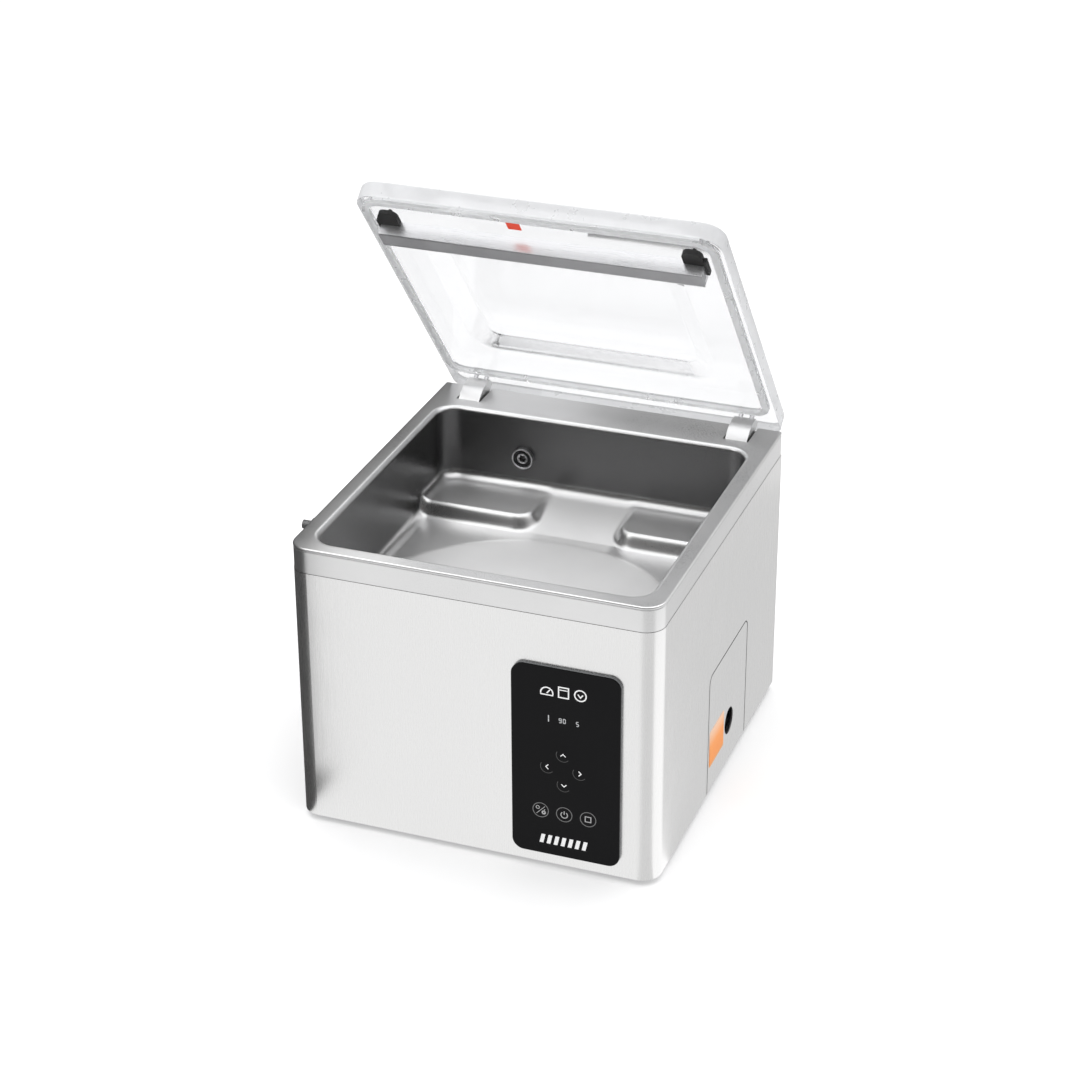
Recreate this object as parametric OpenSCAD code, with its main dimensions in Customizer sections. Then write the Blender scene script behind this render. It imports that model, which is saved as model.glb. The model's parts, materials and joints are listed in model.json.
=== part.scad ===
// Tabletop chamber vacuum sealer.
// Body frame: +Z up, -Y is the front with the touch panel, +X is the right hand side.
// The origin is on the surface the rubber feet stand on, under the middle of the casing.
// Everything is drawn with the lid standing open at its stop.

/* [Casing] */
// Width of the casing
body_w = 380; // [360:1:400]
// Depth of the casing, front face to rear face
body_d = 414; // [414:1:430]
// Height of the rim above the standing surface
rim_z = 311; // [311:1:320]
// Height of the rubber feet below the casing
foot_h = 7; // [6:0.5:8]
// Thickness of the stainless sheet
sheet = 1.5; // [1.2:0.1:1.5]
// Radius of the two front vertical corners
corner_r = 20; // [18:1:22]
// Height of the band below the rim that belongs to the drawn tub
skirt_h = 27; // [26:0.5:28]

/* [Vacuum chamber] */
// Half width of the chamber opening
ch_hw = 171; // [168:0.5:172]
// Front wall of the chamber (Y)
ch_front = -188; // [-190:0.5:-186]
// Rear wall of the chamber (Y)
ch_rear = 150; // [148:0.5:152]
// Depth of the chamber below the rim
ch_depth = 99; // [97:0.5:100]
// Height of the two raised steps at the back of the chamber floor
step_h = 16; // [12:0.5:18]
// Corner radius of the chamber
ch_r = 22; // [18:1:26]

/* [Lid] */
// Angle of the open lid from closed
lid_open = 50.3; // [48:0.1:51]
// Thickness of the clear lid
lid_t = 19; // [18:0.5:22]
// Half width of the lid
lid_hw = 186; // [184:0.5:188]
// Depth of the pocket in the underside of the lid
pocket_t = 9.5; // [6:0.5:11]

/* [Touch panel] */
// Width of the glass
panel_w = 111; // [105:1:113]
// Height of the glass
panel_h = 211; // [200:1:213]

/* [Seal bar] */
// Length of the seal bar
bar_l = 320; // [300:5:324]
// Width of the seal bar and of the counter bar above it
bar_w = 22; // [20:0.5:22]
// Lift of the seal bar
bar_lift = 18; // [15:0.5:18]

/* [Hidden] */
$fn = 64;
hw = body_w / 2;
fy = -body_d / 2;
ry = body_d / 2;
case_top = rim_z - skirt_h;
hy = ry - 9;            // lid axis, Y
hz = rim_z - 26;        // lid axis, Z
lid_z = rim_z + 3;      // underside of the closed lid
lid_y0 = -201;
lid_y1 = ry - 3;
arm_r = 37;             // radius of the curved front of a hinge arm
arm_x = 149.75;         // middle of each hinge arm
arm_w = 23.5;
floor_z = rim_z - ch_depth;
bar_y = -148;           // middle of the seal bar
bar_top = 279;
px = 98.5;              // middle of the touch panel, X
pz = 125.3;             // middle of the touch panel, Z
cover_y0 = -37;
cover_y1 = 96;
cover_top = 145;
sight_y = 36;
sight_z = 54.6;
pump_y = 40;
pump_z = 72;
eye_y = hy - 20.95;     // line of the gas spring rods
eye_z = hz + 9.35;

// ---------- shared shapes ----------

// Rectangle with its own radius at each corner: [front left, front right, rear right, rear left]
module rr(x0, x1, y0, y1, r) {
  difference() {
    translate([x0, y0]) square([x1 - x0, y1 - y0]);
    if (r[0] > 0) translate([x0 - 1, y0 - 1]) square(r[0] + 1);
    if (r[1] > 0) translate([x1 - r[1], y0 - 1]) square(r[1] + 1);
    if (r[2] > 0) translate([x1 - r[2], y1 - r[2]]) square(r[2] + 1);
    if (r[3] > 0) translate([x0 - 1, y1 - r[3]]) square(r[3] + 1);
  }
  if (r[0] > 0) translate([x0 + r[0], y0 + r[0]]) circle(r[0]);
  if (r[1] > 0) translate([x1 - r[1], y0 + r[1]]) circle(r[1]);
  if (r[2] > 0) translate([x1 - r[2], y1 - r[2]]) circle(r[2]);
  if (r[3] > 0) translate([x0 + r[3], y1 - r[3]]) circle(r[3]);
}

// A slab with that outline between two heights
module slab(x0, x1, y0, y1, r, z0, z1) {
  translate([0, 0, z0]) linear_extrude(z1 - z0) rr(x0, x1, y0, y1, r);
}

// A box given by its low and high corners
module box(a, b) { translate(a) cube(b - a); }

// Round bars along X, Y and Z, from a point
module rod_x(p, r, l) { translate(p) rotate([0, 90, 0]) cylinder(h = l, r = r); }
module rod_y(p, r, l) { translate(p) rotate([-90, 0, 0]) cylinder(h = l, r = r); }
module rod_z(p, r, l) { translate(p) cylinder(h = l, r = r); }

// A thing drawn for the closed lid, turned to the open lid
module opened() {
  translate([0, hy, hz]) rotate([-lid_open, 0, 0]) translate([0, -hy, -hz]) children();
}

// An upright outline in the Y-Z plane, thickened along X
module side_profile(x0, x1, pts) {
  translate([x0, 0, 0]) rotate([90, 0, 90]) linear_extrude(x1 - x0) polygon(pts);
}

// Smooth curve through hand placed points
function cr(a, b, c, d, t) = 0.5 * ((2 * b) + (c - a) * t + (2 * a - 5 * b + 4 * c - d) * t * t + (3 * b - a - 3 * c + d) * t * t * t);
function curve(p, n) = concat([for (i = [0 : len(p) - 2]) for (k = [0 : n - 1])
  cr(p[max(i - 1, 0)], p[i], p[i + 1], p[min(i + 2, len(p) - 1)], k / n)], [p[len(p) - 1]]);
function unit(v) = v / norm(v);
module hose(pts, r, ref, n = 5, m = 10) {
  c = curve(pts, n);
  k = len(c);
  tang = [for (i = [0 : k - 1]) unit(c[min(i + 1, k - 1)] - c[max(i - 1, 0)])];
  ring = [for (i = [0 : k - 1]) let (u = unit(cross(tang[i], ref)), v = cross(tang[i], u))
    for (j = [0 : m - 1]) c[i] + r * cos(360 * j / m) * u + r * sin(360 * j / m) * v];
  polyhedron(points = ring, faces = concat(
    [[for (j = [0 : m - 1]) j]],
    [for (i = [0 : k - 2]) for (j = [0 : m - 1]) let (a = i * m + j, b = i * m + (j + 1) % m)
      [a, a + m, b + m, b]],
    [[for (j = [m - 1 : -1 : 0]) (k - 1) * m + j]]));
}

// ---------- casing and sheet work ----------

// Wrap-around front and sides with returns at the top, the bottom and the rear
module casing() {
  color([0.86, 0.86, 0.87]) difference() {
    union() {
      difference() {
        slab(-hw, hw, fy, ry - sheet, [corner_r, corner_r, 0, 0], foot_h, case_top);
        slab(-hw + sheet, hw - sheet, fy + sheet, ry + 1, [corner_r - sheet, corner_r - sheet, 0, 0], foot_h - 1, case_top + 1);
      }
      // bottom return, resting on the base plate
      difference() {
        slab(-hw + 0.5, hw - 0.5, fy + 0.5, ry - sheet, [corner_r - 0.5, corner_r - 0.5, 0, 0], foot_h + 2, foot_h + 2 + sheet);
        slab(-hw + 14, hw - 14, fy + 14, ry + 1, [8, 8, 0, 0], foot_h, foot_h + 6);
      }
      // top return, under the tub's own return
      difference() {
        slab(-hw + 0.5, hw - 0.5, fy + 0.5, ry - sheet, [corner_r - 0.5, corner_r - 0.5, 0, 0], case_top - sheet, case_top);
        slab(-hw + 11, hw - 11, fy + 11, ry + 1, [10, 10, 0, 0], case_top - 4, case_top + 4);
      }
      // rear returns that the back panel is screwed to
      for (s = [-1, 1]) box([s > 0 ? hw - 14 : -hw, ry - 2 * sheet, foot_h + 2], [s > 0 ? hw : -hw + 14, ry - sheet, case_top]);
    }
    // opening behind the touch panel
    translate([0, fy + 3, 0]) rotate([90, 0, 0]) slab(px - 43, px + 43, pz - 88, pz + 88, [4, 4, 4, 4], -2, 5);
    // opening for the service cover
    translate([hw - 20, 0, 0]) rotate([90, 0, 90]) slab(cover_y0 - 0.6, cover_y1 + 0.6, foot_h - 4, cover_top + 0.6, [0, 0, 10.6, 10.6], 0, 30);
    // holes in the bottom and rear returns
    for (s = [-1, 1]) {
      for (y = [-130, 150]) rod_z([s * (hw - 8), y, 0], 2.1, 20);
      rod_z([s * 120, fy + 8, 0], 2.1, 20);
      for (z = [60, 160, 260]) rod_y([s * (hw - 8), ry - 10, z], 2.1, 12);
    }
  }
}

// Drawn chamber with its rim, skirt, floor steps and shallow pressed dish
module chamber_tub() {
  t = 2;
  f0 = floor_z;
  f1 = floor_z + step_h;
  color([0.72, 0.73, 0.74]) difference() {
    union() {
      // rim plate
      slab(-hw, hw, fy, ry, [corner_r, corner_r, 1, 1], rim_z - t, rim_z);
      // skirt
      difference() {
        slab(-hw + 0.3, hw - 0.3, fy + 0.3, ry - 0.3, [corner_r - 0.3, corner_r - 0.3, 1, 1], case_top + 0.3, rim_z - t + 0.2);
        slab(-hw + 0.3 + sheet, hw - 0.3 - sheet, fy + 0.3 + sheet, ry - 0.3 - sheet, [corner_r - 0.3 - sheet, corner_r - 0.3 - sheet, 0, 0], case_top - 1, rim_z);
      }
      // return that lies on the casing's top return
      difference() {
        slab(-hw + 1, hw - 1, fy + 1, ry - 12, [corner_r - 1, corner_r - 1, 0, 0], case_top + 0.3, case_top + 0.3 + sheet);
        slab(-hw + 11, hw - 11, fy + 11, ry + 1, [10, 10, 0, 0], case_top - 4, case_top + 6);
      }
      // chamber walls
      slab(-ch_hw - t, ch_hw + t, ch_front - t, ch_rear + t, [ch_r + t, ch_r + t, ch_r + t, ch_r + t], f0 - t, rim_z - t + 0.2);
    }
    // the hollow of the chamber above the low floor, in front of the steps
    slab(-ch_hw, ch_hw, ch_front, 80, [ch_r, ch_r, 0, 0], f0, rim_z + 1);
    // the hollow above the steps
    slab(-ch_hw, ch_hw, 79, ch_rear, [0, 0, ch_r, ch_r], f1, rim_z + 1);
    // the sloping channel between the steps
    side_profile(-46, 46, [[79, f0], [79, rim_z], [ch_rear, rim_z], [ch_rear, f1], [ch_rear - 4, f1 - 1]]);
    // hollow below the steps and the channel, open downward
    side_profile(-ch_hw, -46 - t, [[80 + t, f0 - t - 1], [80 + t, f1 - t], [ch_rear, f1 - t], [ch_rear, f0 - t - 1]]);
    side_profile(46 + t, ch_hw, [[80 + t, f0 - t - 1], [80 + t, f1 - t], [ch_rear, f1 - t], [ch_rear, f0 - t - 1]]);
    side_profile(-46 + t, 46 - t, [[86, f0 - t - 1], [86, f0 - t + 0.4], [ch_rear, f1 - t - 1], [ch_rear, f0 - t - 1]]);
    // shallow dish in the low floor
    intersection() {
      rod_z([0, -100, f0 - 0.8], 168, 10);
      box([-ch_hw + 8, ch_front + 8, f0 - 0.8], [ch_hw - 8, 76, f0 + 1]);
    }
    // slots the hinge arms rise through, open to the rear
    for (s = [-1, 1]) box([s * arm_x - 13.75, ry - 38, rim_z - t - 1], [s * arm_x + 13.75, ry + 1, rim_z + 1]);
    for (s = [-1, 1]) box([s * arm_x - 13.75, ry - 2.5, rim_z - t - 1.6], [s * arm_x + 13.75, ry + 1, rim_z + 1]);
    // hole for the suction fitting
    rod_y([-79, ch_rear - 5, 263], 7, 20);
    // holes for the seal bar lift
    for (s = [-1, 1]) rod_z([s * 110, bar_y, f0 - 10], 9, 20);
    // hole for the outside vacuum port
    rod_x([-hw - 2, -141, 301.2], 6, 8);
    // screw holes of the hinge brackets
    for (s = [-1, 1]) for (d = [-22.5, 22.5]) rod_y([s * arm_x + d, ry - 4, 297], 2.1, 6);
  }
}

// Rear sheet with louvres and cut-outs
module back_panel() {
  color([0.8, 0.8, 0.81]) difference() {
    box([-hw, ry - sheet, foot_h], [hw, ry, case_top - 0.2]);
    for (i = [0 : 7]) box([14, ry - 3, 90 + i * 16], [122, ry + 1, 95 + i * 16]);
    // socket and switch
    box([-144, ry - 3, 50], [-116, ry + 1, 72]);
    box([-90, ry - 3, 48], [-69, ry + 1, 76]);
    // screws to the casing and hinge brackets
    for (s = [-1, 1]) for (z = [60, 160, 260]) rod_y([s * (hw - 8), ry - 4, z], 2.1, 6);
    for (s = [-1, 1]) for (d = [-22.5, 22.5]) rod_y([s * arm_x + d, ry - 4, 274], 2.1, 6);
    for (s = [-1, 1]) for (d = [-18, 18]) rod_y([s * arm_x + d, ry - 4, 150], 2.1, 6);
  }
}

// Floor of the machine with vent slots
module base_plate() {
  color([0.6, 0.6, 0.61]) difference() {
    slab(-hw + sheet + 0.3, hw - sheet - 0.3, fy + sheet + 0.3, ry - sheet - 0.2, [18, 18, 0, 0], foot_h, foot_h + 2);
    for (i = [0 : 6]) box([-60, -170 + i * 12, foot_h - 1], [60, -164 + i * 12, foot_h + 3]);
    for (x = [-150, 150]) for (y = [-165, 165]) rod_z([x, y, 0], 2.6, 20);
    for (s = [-1, 1]) {
      for (y = [-130, 150]) rod_z([s * (hw - 8), y, 0], 2.1, 20);
      rod_z([s * 120, fy + 8, 0], 2.1, 20);
    }
  }
}

module rubber_feet() {
  color([0.08, 0.08, 0.08]) for (x = [-150, 150]) for (y = [-165, 165]) difference() {
    rod_z([x, y, 0], 15, foot_h);
    rod_z([x, y, -1], 5.5, 4.4);
    rod_z([x, y, -1], 2.6, 20);
  }
}

// Foot screws with their nuts
module foot_screws() {
  color([0.75, 0.75, 0.76]) for (x = [-150, 150]) for (y = [-165, 165]) {
    rod_z([x, y, 1.2], 4.8, 2.2);
    rod_z([x, y, 2], 2.5, 12);
    translate([x, y, foot_h + 2]) cylinder(h = 4, r = 4.6, $fn = 6);
  }
}

// Flush cover in the right side, with a round window hole
module service_cover() {
  color([0.84, 0.84, 0.85]) difference() {
    translate([hw - sheet, 0, 0]) rotate([90, 0, 90]) slab(cover_y0, cover_y1, foot_h + 1, cover_top, [0, 0, 10, 10], 0, sheet);
    rod_x([hw - 5, sight_y, sight_z], 14.7, 10);
  }
}

module service_label() {
  color([0.93, 0.45, 0.13]) translate([hw, 0, 0]) rotate([90, 0, 90]) slab(-32, 17, 36, 78, [2, 2, 2, 2], 0, 0.3);
}

// ---------- touch panel ----------

module control_bezel() {
  color([0.35, 0.36, 0.37]) difference() {
    translate([0, fy, 0]) rotate([90, 0, 0]) slab(px - panel_w / 2, px + panel_w / 2, pz - panel_h / 2, pz + panel_h / 2, [12, 12, 12, 12], 0, 2);
    box([px - 27, fy - 3, 163], [px + 27, fy + 1, 190]);
  }
}

module control_glass() {
  color([0.03, 0.03, 0.03]) translate([0, fy - 2, 0]) rotate([90, 0, 0])
    slab(px - panel_w / 2, px + panel_w / 2, pz - panel_h / 2, pz + panel_h / 2, [12, 12, 12, 12], 0, 2);
}

module control_board() {
  color([0.1, 0.35, 0.2]) union() {
    box([px - 42, fy + 9, 45], [px + 42, fy + 10.6, 205]);
    box([px - 20, fy + 10.4, 70], [px + 15, fy + 18, 100]);
    box([px - 30, fy + 10.4, 120], [px - 10, fy + 15, 140]);
  }
}

module display_module() {
  color([0.05, 0.06, 0.08]) box([px - 26, fy - 1.8, 164], [px + 26, fy + 8.8, 189]);
}

// Spacers of the two circuit boards
module board_standoffs() {
  color([0.82, 0.7, 0.4]) {
    for (x = [-46, 46]) for (z = [50, 200]) {
      rod_y([px + x, fy + sheet, z], 3, 7.4);
      box([px + (x < 0 ? x : x - 8), fy + 7.4, z - 3], [px + (x < 0 ? x + 8 : x), fy + 8.9, z + 3]);
    }
    for (x = [-172.4, -122]) for (y = [-78, 64]) rod_z([x, y, foot_h + 2], 3, 9.9);
  }
}

// ---------- electrics ----------

// Mains appliance inlet with flange
module power_inlet() {
  color([0.07, 0.07, 0.07]) difference() {
    union() {
      box([-143.5, ry - 26, 50.5], [-116.5, ry + 1, 71.5]);
      box([-155, ry, 47], [-105, ry + 3, 75]);
    }
    box([-142, ry - 16, 52.5], [-118, ry + 4, 69.5]);
  }
}

module main_switch_housing() {
  color([0.09, 0.09, 0.09]) difference() {
    union() {
      box([-89.5, ry - 20, 48.5], [-69.5, ry + 1, 75.5]);
      box([-92, ry, 46], [-67, ry + 2, 78]);
    }
    box([-87.5, ry - 14, 51], [-71.5, ry + 3, 73]);
    rod_x([-89, ry - 3, 62], 1.55, 19);
  }
}

// Rocker on two short pins, drawn with its lower end pressed
module main_switch_rocker() {
  color([0.55, 0.06, 0.05]) translate([-79.5, ry - 3, 62]) rotate([-8, 0, 0]) union() {
    side_profile(-7.8, 7.8, [[-5, -5], [4.2, -10], [5.2, 0], [4.2, 10], [-5, 5]]);
    rod_x([-9, 0, 0], 1.5, 18);
  }
}

module transformer_core() {
  color([0.3, 0.3, 0.32]) difference() {
    box([-165, -150, foot_h + 2], [-85, -110, 78]);
    box([-153, -160, 25], [-138, -100, 62]);
    box([-112, -160, 25], [-97, -100, 62]);
  }
}

module transformer_coil() {
  color([0.72, 0.4, 0.15]) difference() {
    box([-152.6, -168, 25.4], [-97.4, -92, 61.6]);
    box([-138.2, -150.4, 20], [-111.8, -109.6, 70]);
  }
}

module power_board() {
  color([0.12, 0.38, 0.2]) union() {
    box([-178, -85, foot_h + 11.9], [-118, 70, foot_h + 13.5]);
    box([-170, -60, foot_h + 13.3], [-145, -35, foot_h + 40]);
    box([-168, 10, foot_h + 13.3], [-140, 40, foot_h + 30]);
    box([-136, -70, foot_h + 13.3], [-124, 50, foot_h + 24]);
  }
}

// ---------- vacuum pump and motor ----------

module pump_housing() {
  color([0.42, 0.43, 0.45]) difference() {
    union() {
      rod_x([62, pump_y, pump_z], 44, 56);
      box([66, pump_y - 30, foot_h + 12], [114, pump_y + 30, pump_z]);
      rod_z([88, pump_y, pump_z + 30], 13, 28);
    }
    rod_x([70, pump_y, pump_z], 30, 40);
    rod_x([50, pump_y, pump_z], 7.05, 40);
    rod_z([88, pump_y, pump_z + 50], 7, 20);
  }
}

module pump_oil_tank() {
  color([0.62, 0.63, 0.65]) difference() {
    box([118, pump_y - 45, foot_h + 12], [176, pump_y + 50, 118]);
    box([122, pump_y - 41, foot_h + 16], [172, pump_y + 46, 114]);
    rod_x([160, sight_y, sight_z], 10, 30);
    rod_z([147, pump_y + 25, 105], 9, 30);
    rod_z([147, pump_y - 20, 105], 12, 30);
  }
}

module oil_sight_glass() {
  color([0.75, 0.6, 0.2, 0.6]) union() {
    rod_x([171, sight_y, sight_z], 9.9, 6);
    rod_x([176, sight_y, sight_z], 13, 4);
  }
}

module oil_filler_cap() {
  color([0.1, 0.1, 0.1]) union() {
    rod_z([147, pump_y + 25, 112], 8.9, 7);
    rod_z([147, pump_y + 25, 118], 14, 10);
  }
}

module exhaust_filter() {
  color([0.3, 0.3, 0.32]) union() {
    rod_z([147, pump_y - 20, 108], 11.9, 11);
    rod_z([147, pump_y - 20, 118], 19, 34);
  }
}

// Ribbed motor shell with end faces
module motor_housing() {
  color([0.25, 0.3, 0.36]) difference() {
    union() {
      rod_x([-70, pump_y, pump_z], 46, 132);
      for (a = [0 : 15 : 345]) translate([-62, pump_y, pump_z]) rotate([a, 0, 0]) box([0, -1.2, 44], [112, 1.2, 50]);
      box([-50, pump_y - 36, foot_h + 12], [46, pump_y + 36, pump_z - 28]);
      box([-30, pump_y - 28, pump_z + 38], [20, pump_y + 28, pump_z + 62]);
    }
    rod_x([-62, pump_y, pump_z], 36, 116);
    rod_x([-80, pump_y, pump_z], 7.05, 160);
  }
}

// Rotor: shaft, motor core and pump rotor in one turning piece
module motor_shaft() {
  color([0.6, 0.6, 0.62]) union() {
    rod_x([-100, pump_y, pump_z], 7, 205);
    rod_x([-52, pump_y, pump_z], 30, 90);
    rod_x([72, pump_y, pump_z], 24, 34);
  }
}

module cooling_fan() {
  color([0.12, 0.12, 0.13]) difference() {
    union() {
      rod_x([-94, pump_y, pump_z], 14, 16);
      for (a = [0 : 45 : 315]) translate([-92, pump_y, pump_z]) rotate([a, 0, 0]) box([0, -1, 12], [12, 1, 42]);
    }
    rod_x([-110, pump_y, pump_z], 7, 60);
  }
}

module fan_cover() {
  color([0.12, 0.12, 0.13]) difference() {
    rod_x([-106, pump_y, pump_z], 49, 36);
    rod_x([-104, pump_y, pump_z], 46.5, 40);
    for (a = [0 : 30 : 330]) translate([-110, pump_y, pump_z]) rotate([a, 0, 0]) box([0, -2.5, 16], [10, 2.5, 40]);
  }
}

// Four rubber blocks under the pump and the motor
module pump_mounts() {
  color([0.08, 0.08, 0.08]) for (p = [[-40, pump_y - 26], [-40, pump_y + 26], [90, pump_y - 20], [90, pump_y + 20]])
    rod_z([p[0], p[1], foot_h + 2], 9, 10);
}

// ---------- air circuit ----------

// Round stainless fitting with a hexagon socket, in the rear wall of the chamber
module suction_fitting() {
  color([0.7, 0.71, 0.72]) difference() {
    union() {
      rod_y([-79, ch_rear - 6, 263], 12, 6);
      rod_y([-79, ch_rear - 1, 263], 6.9, 18);
    }
    translate([-79, ch_rear - 7, 263]) rotate([-90, 0, 0]) cylinder(h = 5, r = 4.6, $fn = 6);
    rod_y([-79, ch_rear - 10, 263], 2.5, 40);
  }
}

module suction_elbow() {
  color([0.78, 0.62, 0.3]) difference() {
    union() {
      box([-89, 167, 252], [-69, 188, 274]);
      rod_z([-79, 177, 238], 5, 15);
    }
    rod_z([-79, 177, 230], 3, 30);
    rod_y([-79, 160, 263], 3, 18);
  }
}

module suction_hose() {
  color([0.15, 0.15, 0.16]) hose([[-79, 177, 238], [-79, 177, 228], [-77, 179, 212], [-70, 181, 200], [-68, 182, 190], [-68, 182, 184]], 6.5, [1, 0, 0]);
}

module valve_manifold() {
  color([0.68, 0.69, 0.7]) difference() {
    union() {
      box([-112, 164, 148], [-8, 200, 174]);
      rod_z([-68, 182, 173], 5, 11);
      rod_y([-20, 152, 161], 6, 13);
    }
    rod_z([-68, 182, 160], 3, 30);
    rod_x([-100, 182, 161], 4, 84);
    rod_y([-20, 140, 161], 4, 42);
  }
}

// Three coils on the top of the manifold, with their terminals
module solenoid_valves() {
  color([0.1, 0.1, 0.12]) for (x = [-98, -44, -22]) {
    box([x - 9, 172, 174], [x + 9, 194, 204]);
    rod_z([x, 183, 203], 5, 8);
  }
}

module pump_hose() {
  color([0.15, 0.15, 0.16]) hose([[-20, 152, 161], [-20, 140, 161], [-12, 118, 164], [20, 90, 170], [60, 62, 168], [84, 44, 154], [88, 40, 140], [88, 40, 130]], 8, [0.2, -0.3, 1], 6);
}

// Small nozzle on the left side for containers outside the machine
module external_vacuum_port() {
  color([0.72, 0.72, 0.73]) difference() {
    union() {
      rod_x([-hw - 12, -141, 301.2], 4.5, 13);
      rod_x([-hw - 2, -141, 301.2], 7.5, 2.3);
      rod_x([-hw, -141, 301.2], 5.9, 8);
    }
    rod_x([-hw - 14, -141, 301.2], 2.8, 24);
  }
}

// ---------- lid support ----------

// Two cheeks and a back plate with a window round each hinge arm
module hinge_brackets() {
  color([0.7, 0.7, 0.71]) for (s = [-1, 1]) difference() {
    union() {
      box([s * arm_x - 26, ry - 1.8 - 3, 264], [s * arm_x + 26, ry - 1.8, 305]);
      for (d = [-18, 15]) box([s * arm_x + d, hy - 10, 268], [s * arm_x + d + 3, ry - 2, 305]);
    }
    rod_x([s * arm_x - 30, hy, hz], 4, 60);
    // window that the arm turns in
    box([s * arm_x - 13.5, ry - 8, 275], [s * arm_x + 13.5, ry, 306]);
    for (d = [-22.5, 22.5]) for (z = [274, 297]) rod_y([s * arm_x + d, ry - 10, z], 2.1, 12);
  }
}

// Pins with a retaining ring groove at each end
module hinge_pins() {
  color([0.62, 0.62, 0.64]) for (s = [-1, 1]) difference() {
    rod_x([s * arm_x - 22, hy, hz], 4, 44);
    for (d = [-20.4, 19.4]) difference() {
      rod_x([s * arm_x + d, hy, hz], 6, 1);
      rod_x([s * arm_x + d - 1, hy, hz], 3.4, 3);
    }
  }
}

module gas_spring_cylinders() {
  color([0.13, 0.13, 0.14]) for (s = [-1, 1]) difference() {
    union() {
      rod_z([s * arm_x, eye_y, 162], 9, 100);
      box([s * arm_x - 4, eye_y - 7, 144], [s * arm_x + 4, eye_y + 7, 163]);
    }
    rod_z([s * arm_x, eye_y, 166], 7.5, 92);
    rod_z([s * arm_x, eye_y, 200], 4.05, 100);
    rod_x([s * arm_x - 10, eye_y, 151], 3, 20);
  }
}

// Forks on the back panel that hold the lower eyes, with their pins
module gas_spring_brackets() {
  color([0.68, 0.68, 0.69]) for (s = [-1, 1]) difference() {
    union() {
      box([s * arm_x - 24, ry - sheet - 3, 138], [s * arm_x + 24, ry - sheet, 164]);
      for (d = [-8, 5]) box([s * arm_x + d, eye_y - 8, 140], [s * arm_x + d + 3, ry - sheet - 2, 161]);
      rod_x([s * arm_x - 9, eye_y, 151], 3, 18);
    }
    for (d = [-18, 18]) rod_y([s * arm_x + d, ry - 10, 150], 2.1, 12);
  }
}

// Rod with its piston and a wide eye round the arm's cross pin
module gas_rod(s) {
  color([0.75, 0.75, 0.77]) difference() {
    union() {
      rod_z([s * arm_x, eye_y, 196], 4, 92);
      rod_z([s * arm_x, eye_y, 190], 7.4, 7);
      rod_x([s * arm_x - 4, eye_y, eye_z], 8.4, 8);
    }
    rod_x([s * arm_x - 10, eye_y, eye_z], 4.5, 20);
  }
}
module gas_rod_left() { gas_rod(-1); }
module gas_rod_right() { gas_rod(1); }

// Switch that tells the controller the lid is shut
module lid_switch_body() {
  color([0.12, 0.12, 0.13]) difference() {
    box([-157, ch_rear + 2, 250], [-143, ch_rear + 15, 270]);
    rod_z([-150, 161.5, 256], 2.05, 20);
  }
}
module lid_switch_plunger() {
  color([0.85, 0.85, 0.8]) rod_z([-150, 161.5, 259], 2, 14.5);
}

// ---------- seal bar ----------

// Cylinders under the chamber floor, with glands that stand in the floor
module lift_cylinders() {
  color([0.66, 0.67, 0.68]) for (s = [-1, 1]) difference() {
    union() {
      rod_z([s * 110, bar_y, 160], 16, floor_z - 2.8 - 160);
      rod_z([s * 110, bar_y, floor_z - 4], 8.9, 4);
      rod_z([s * 110, bar_y, floor_z - 0.8], 13, 4.8);
    }
    rod_z([s * 110, bar_y, 164], 12, floor_z - 8 - 164);
    rod_z([s * 110, bar_y, 150], 3, 30);
    rod_z([s * 110, bar_y, 190], 6.05, 60);
  }
}

module lift_rods() {
  color([0.75, 0.76, 0.77]) for (s = [-1, 1]) {
    rod_z([s * 110, bar_y, 166], 11.9, 8);
    rod_z([s * 110, bar_y, 173], 6, 257 - 173);
    rod_z([s * 110, bar_y, 256.9], 4, 8);
  }
}

module seal_bar() {
  color([0.78, 0.79, 0.8]) difference() {
    box([-bar_l / 2, bar_y - bar_w / 2, 257], [bar_l / 2, bar_y + bar_w / 2, bar_top - 0.4]);
    for (s = [-1, 1]) rod_z([s * 110, bar_y, 250], 4, 15);
  }
}

// Two flat seal wires along the top of the bar
module heating_wires() {
  color([0.7, 0.65, 0.55]) for (d = [-4, 2]) box([-bar_l / 2 + 3, bar_y + d, bar_top - 0.4], [bar_l / 2 - 3, bar_y + d + 3, bar_top]);
}

// Non-stick tape over the wires and down both faces
module ptfe_tape() {
  color([0.55, 0.42, 0.28]) difference() {
    box([-bar_l / 2 + 6, bar_y - bar_w / 2 - 0.3, 270], [bar_l / 2 - 6, bar_y + bar_w / 2 + 0.3, bar_top + 0.3]);
    box([-bar_l / 2, bar_y - bar_w / 2, 260], [bar_l / 2, bar_y + bar_w / 2, bar_top]);
  }
}

// ---------- fasteners ----------

module pan_screw_y(p, l) {
  rod_y([p[0], p[1], p[2]], 3.8, 2.4);
  rod_y([p[0], p[1] - l, p[2]], 2, l + 0.1);
}
module back_panel_screws() {
  color([0.78, 0.78, 0.79]) {
    for (s = [-1, 1]) for (z = [60, 160, 260]) pan_screw_y([s * (hw - 8), ry, z], 8);
    for (s = [-1, 1]) for (d = [-22.5, 22.5]) for (z = [274, 297]) pan_screw_y([s * arm_x + d, z > 280 ? ry - 0.3 : ry, z], 6);
    for (s = [-1, 1]) for (d = [-18, 18]) pan_screw_y([s * arm_x + d, ry, 150], 8);
  }
}

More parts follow.
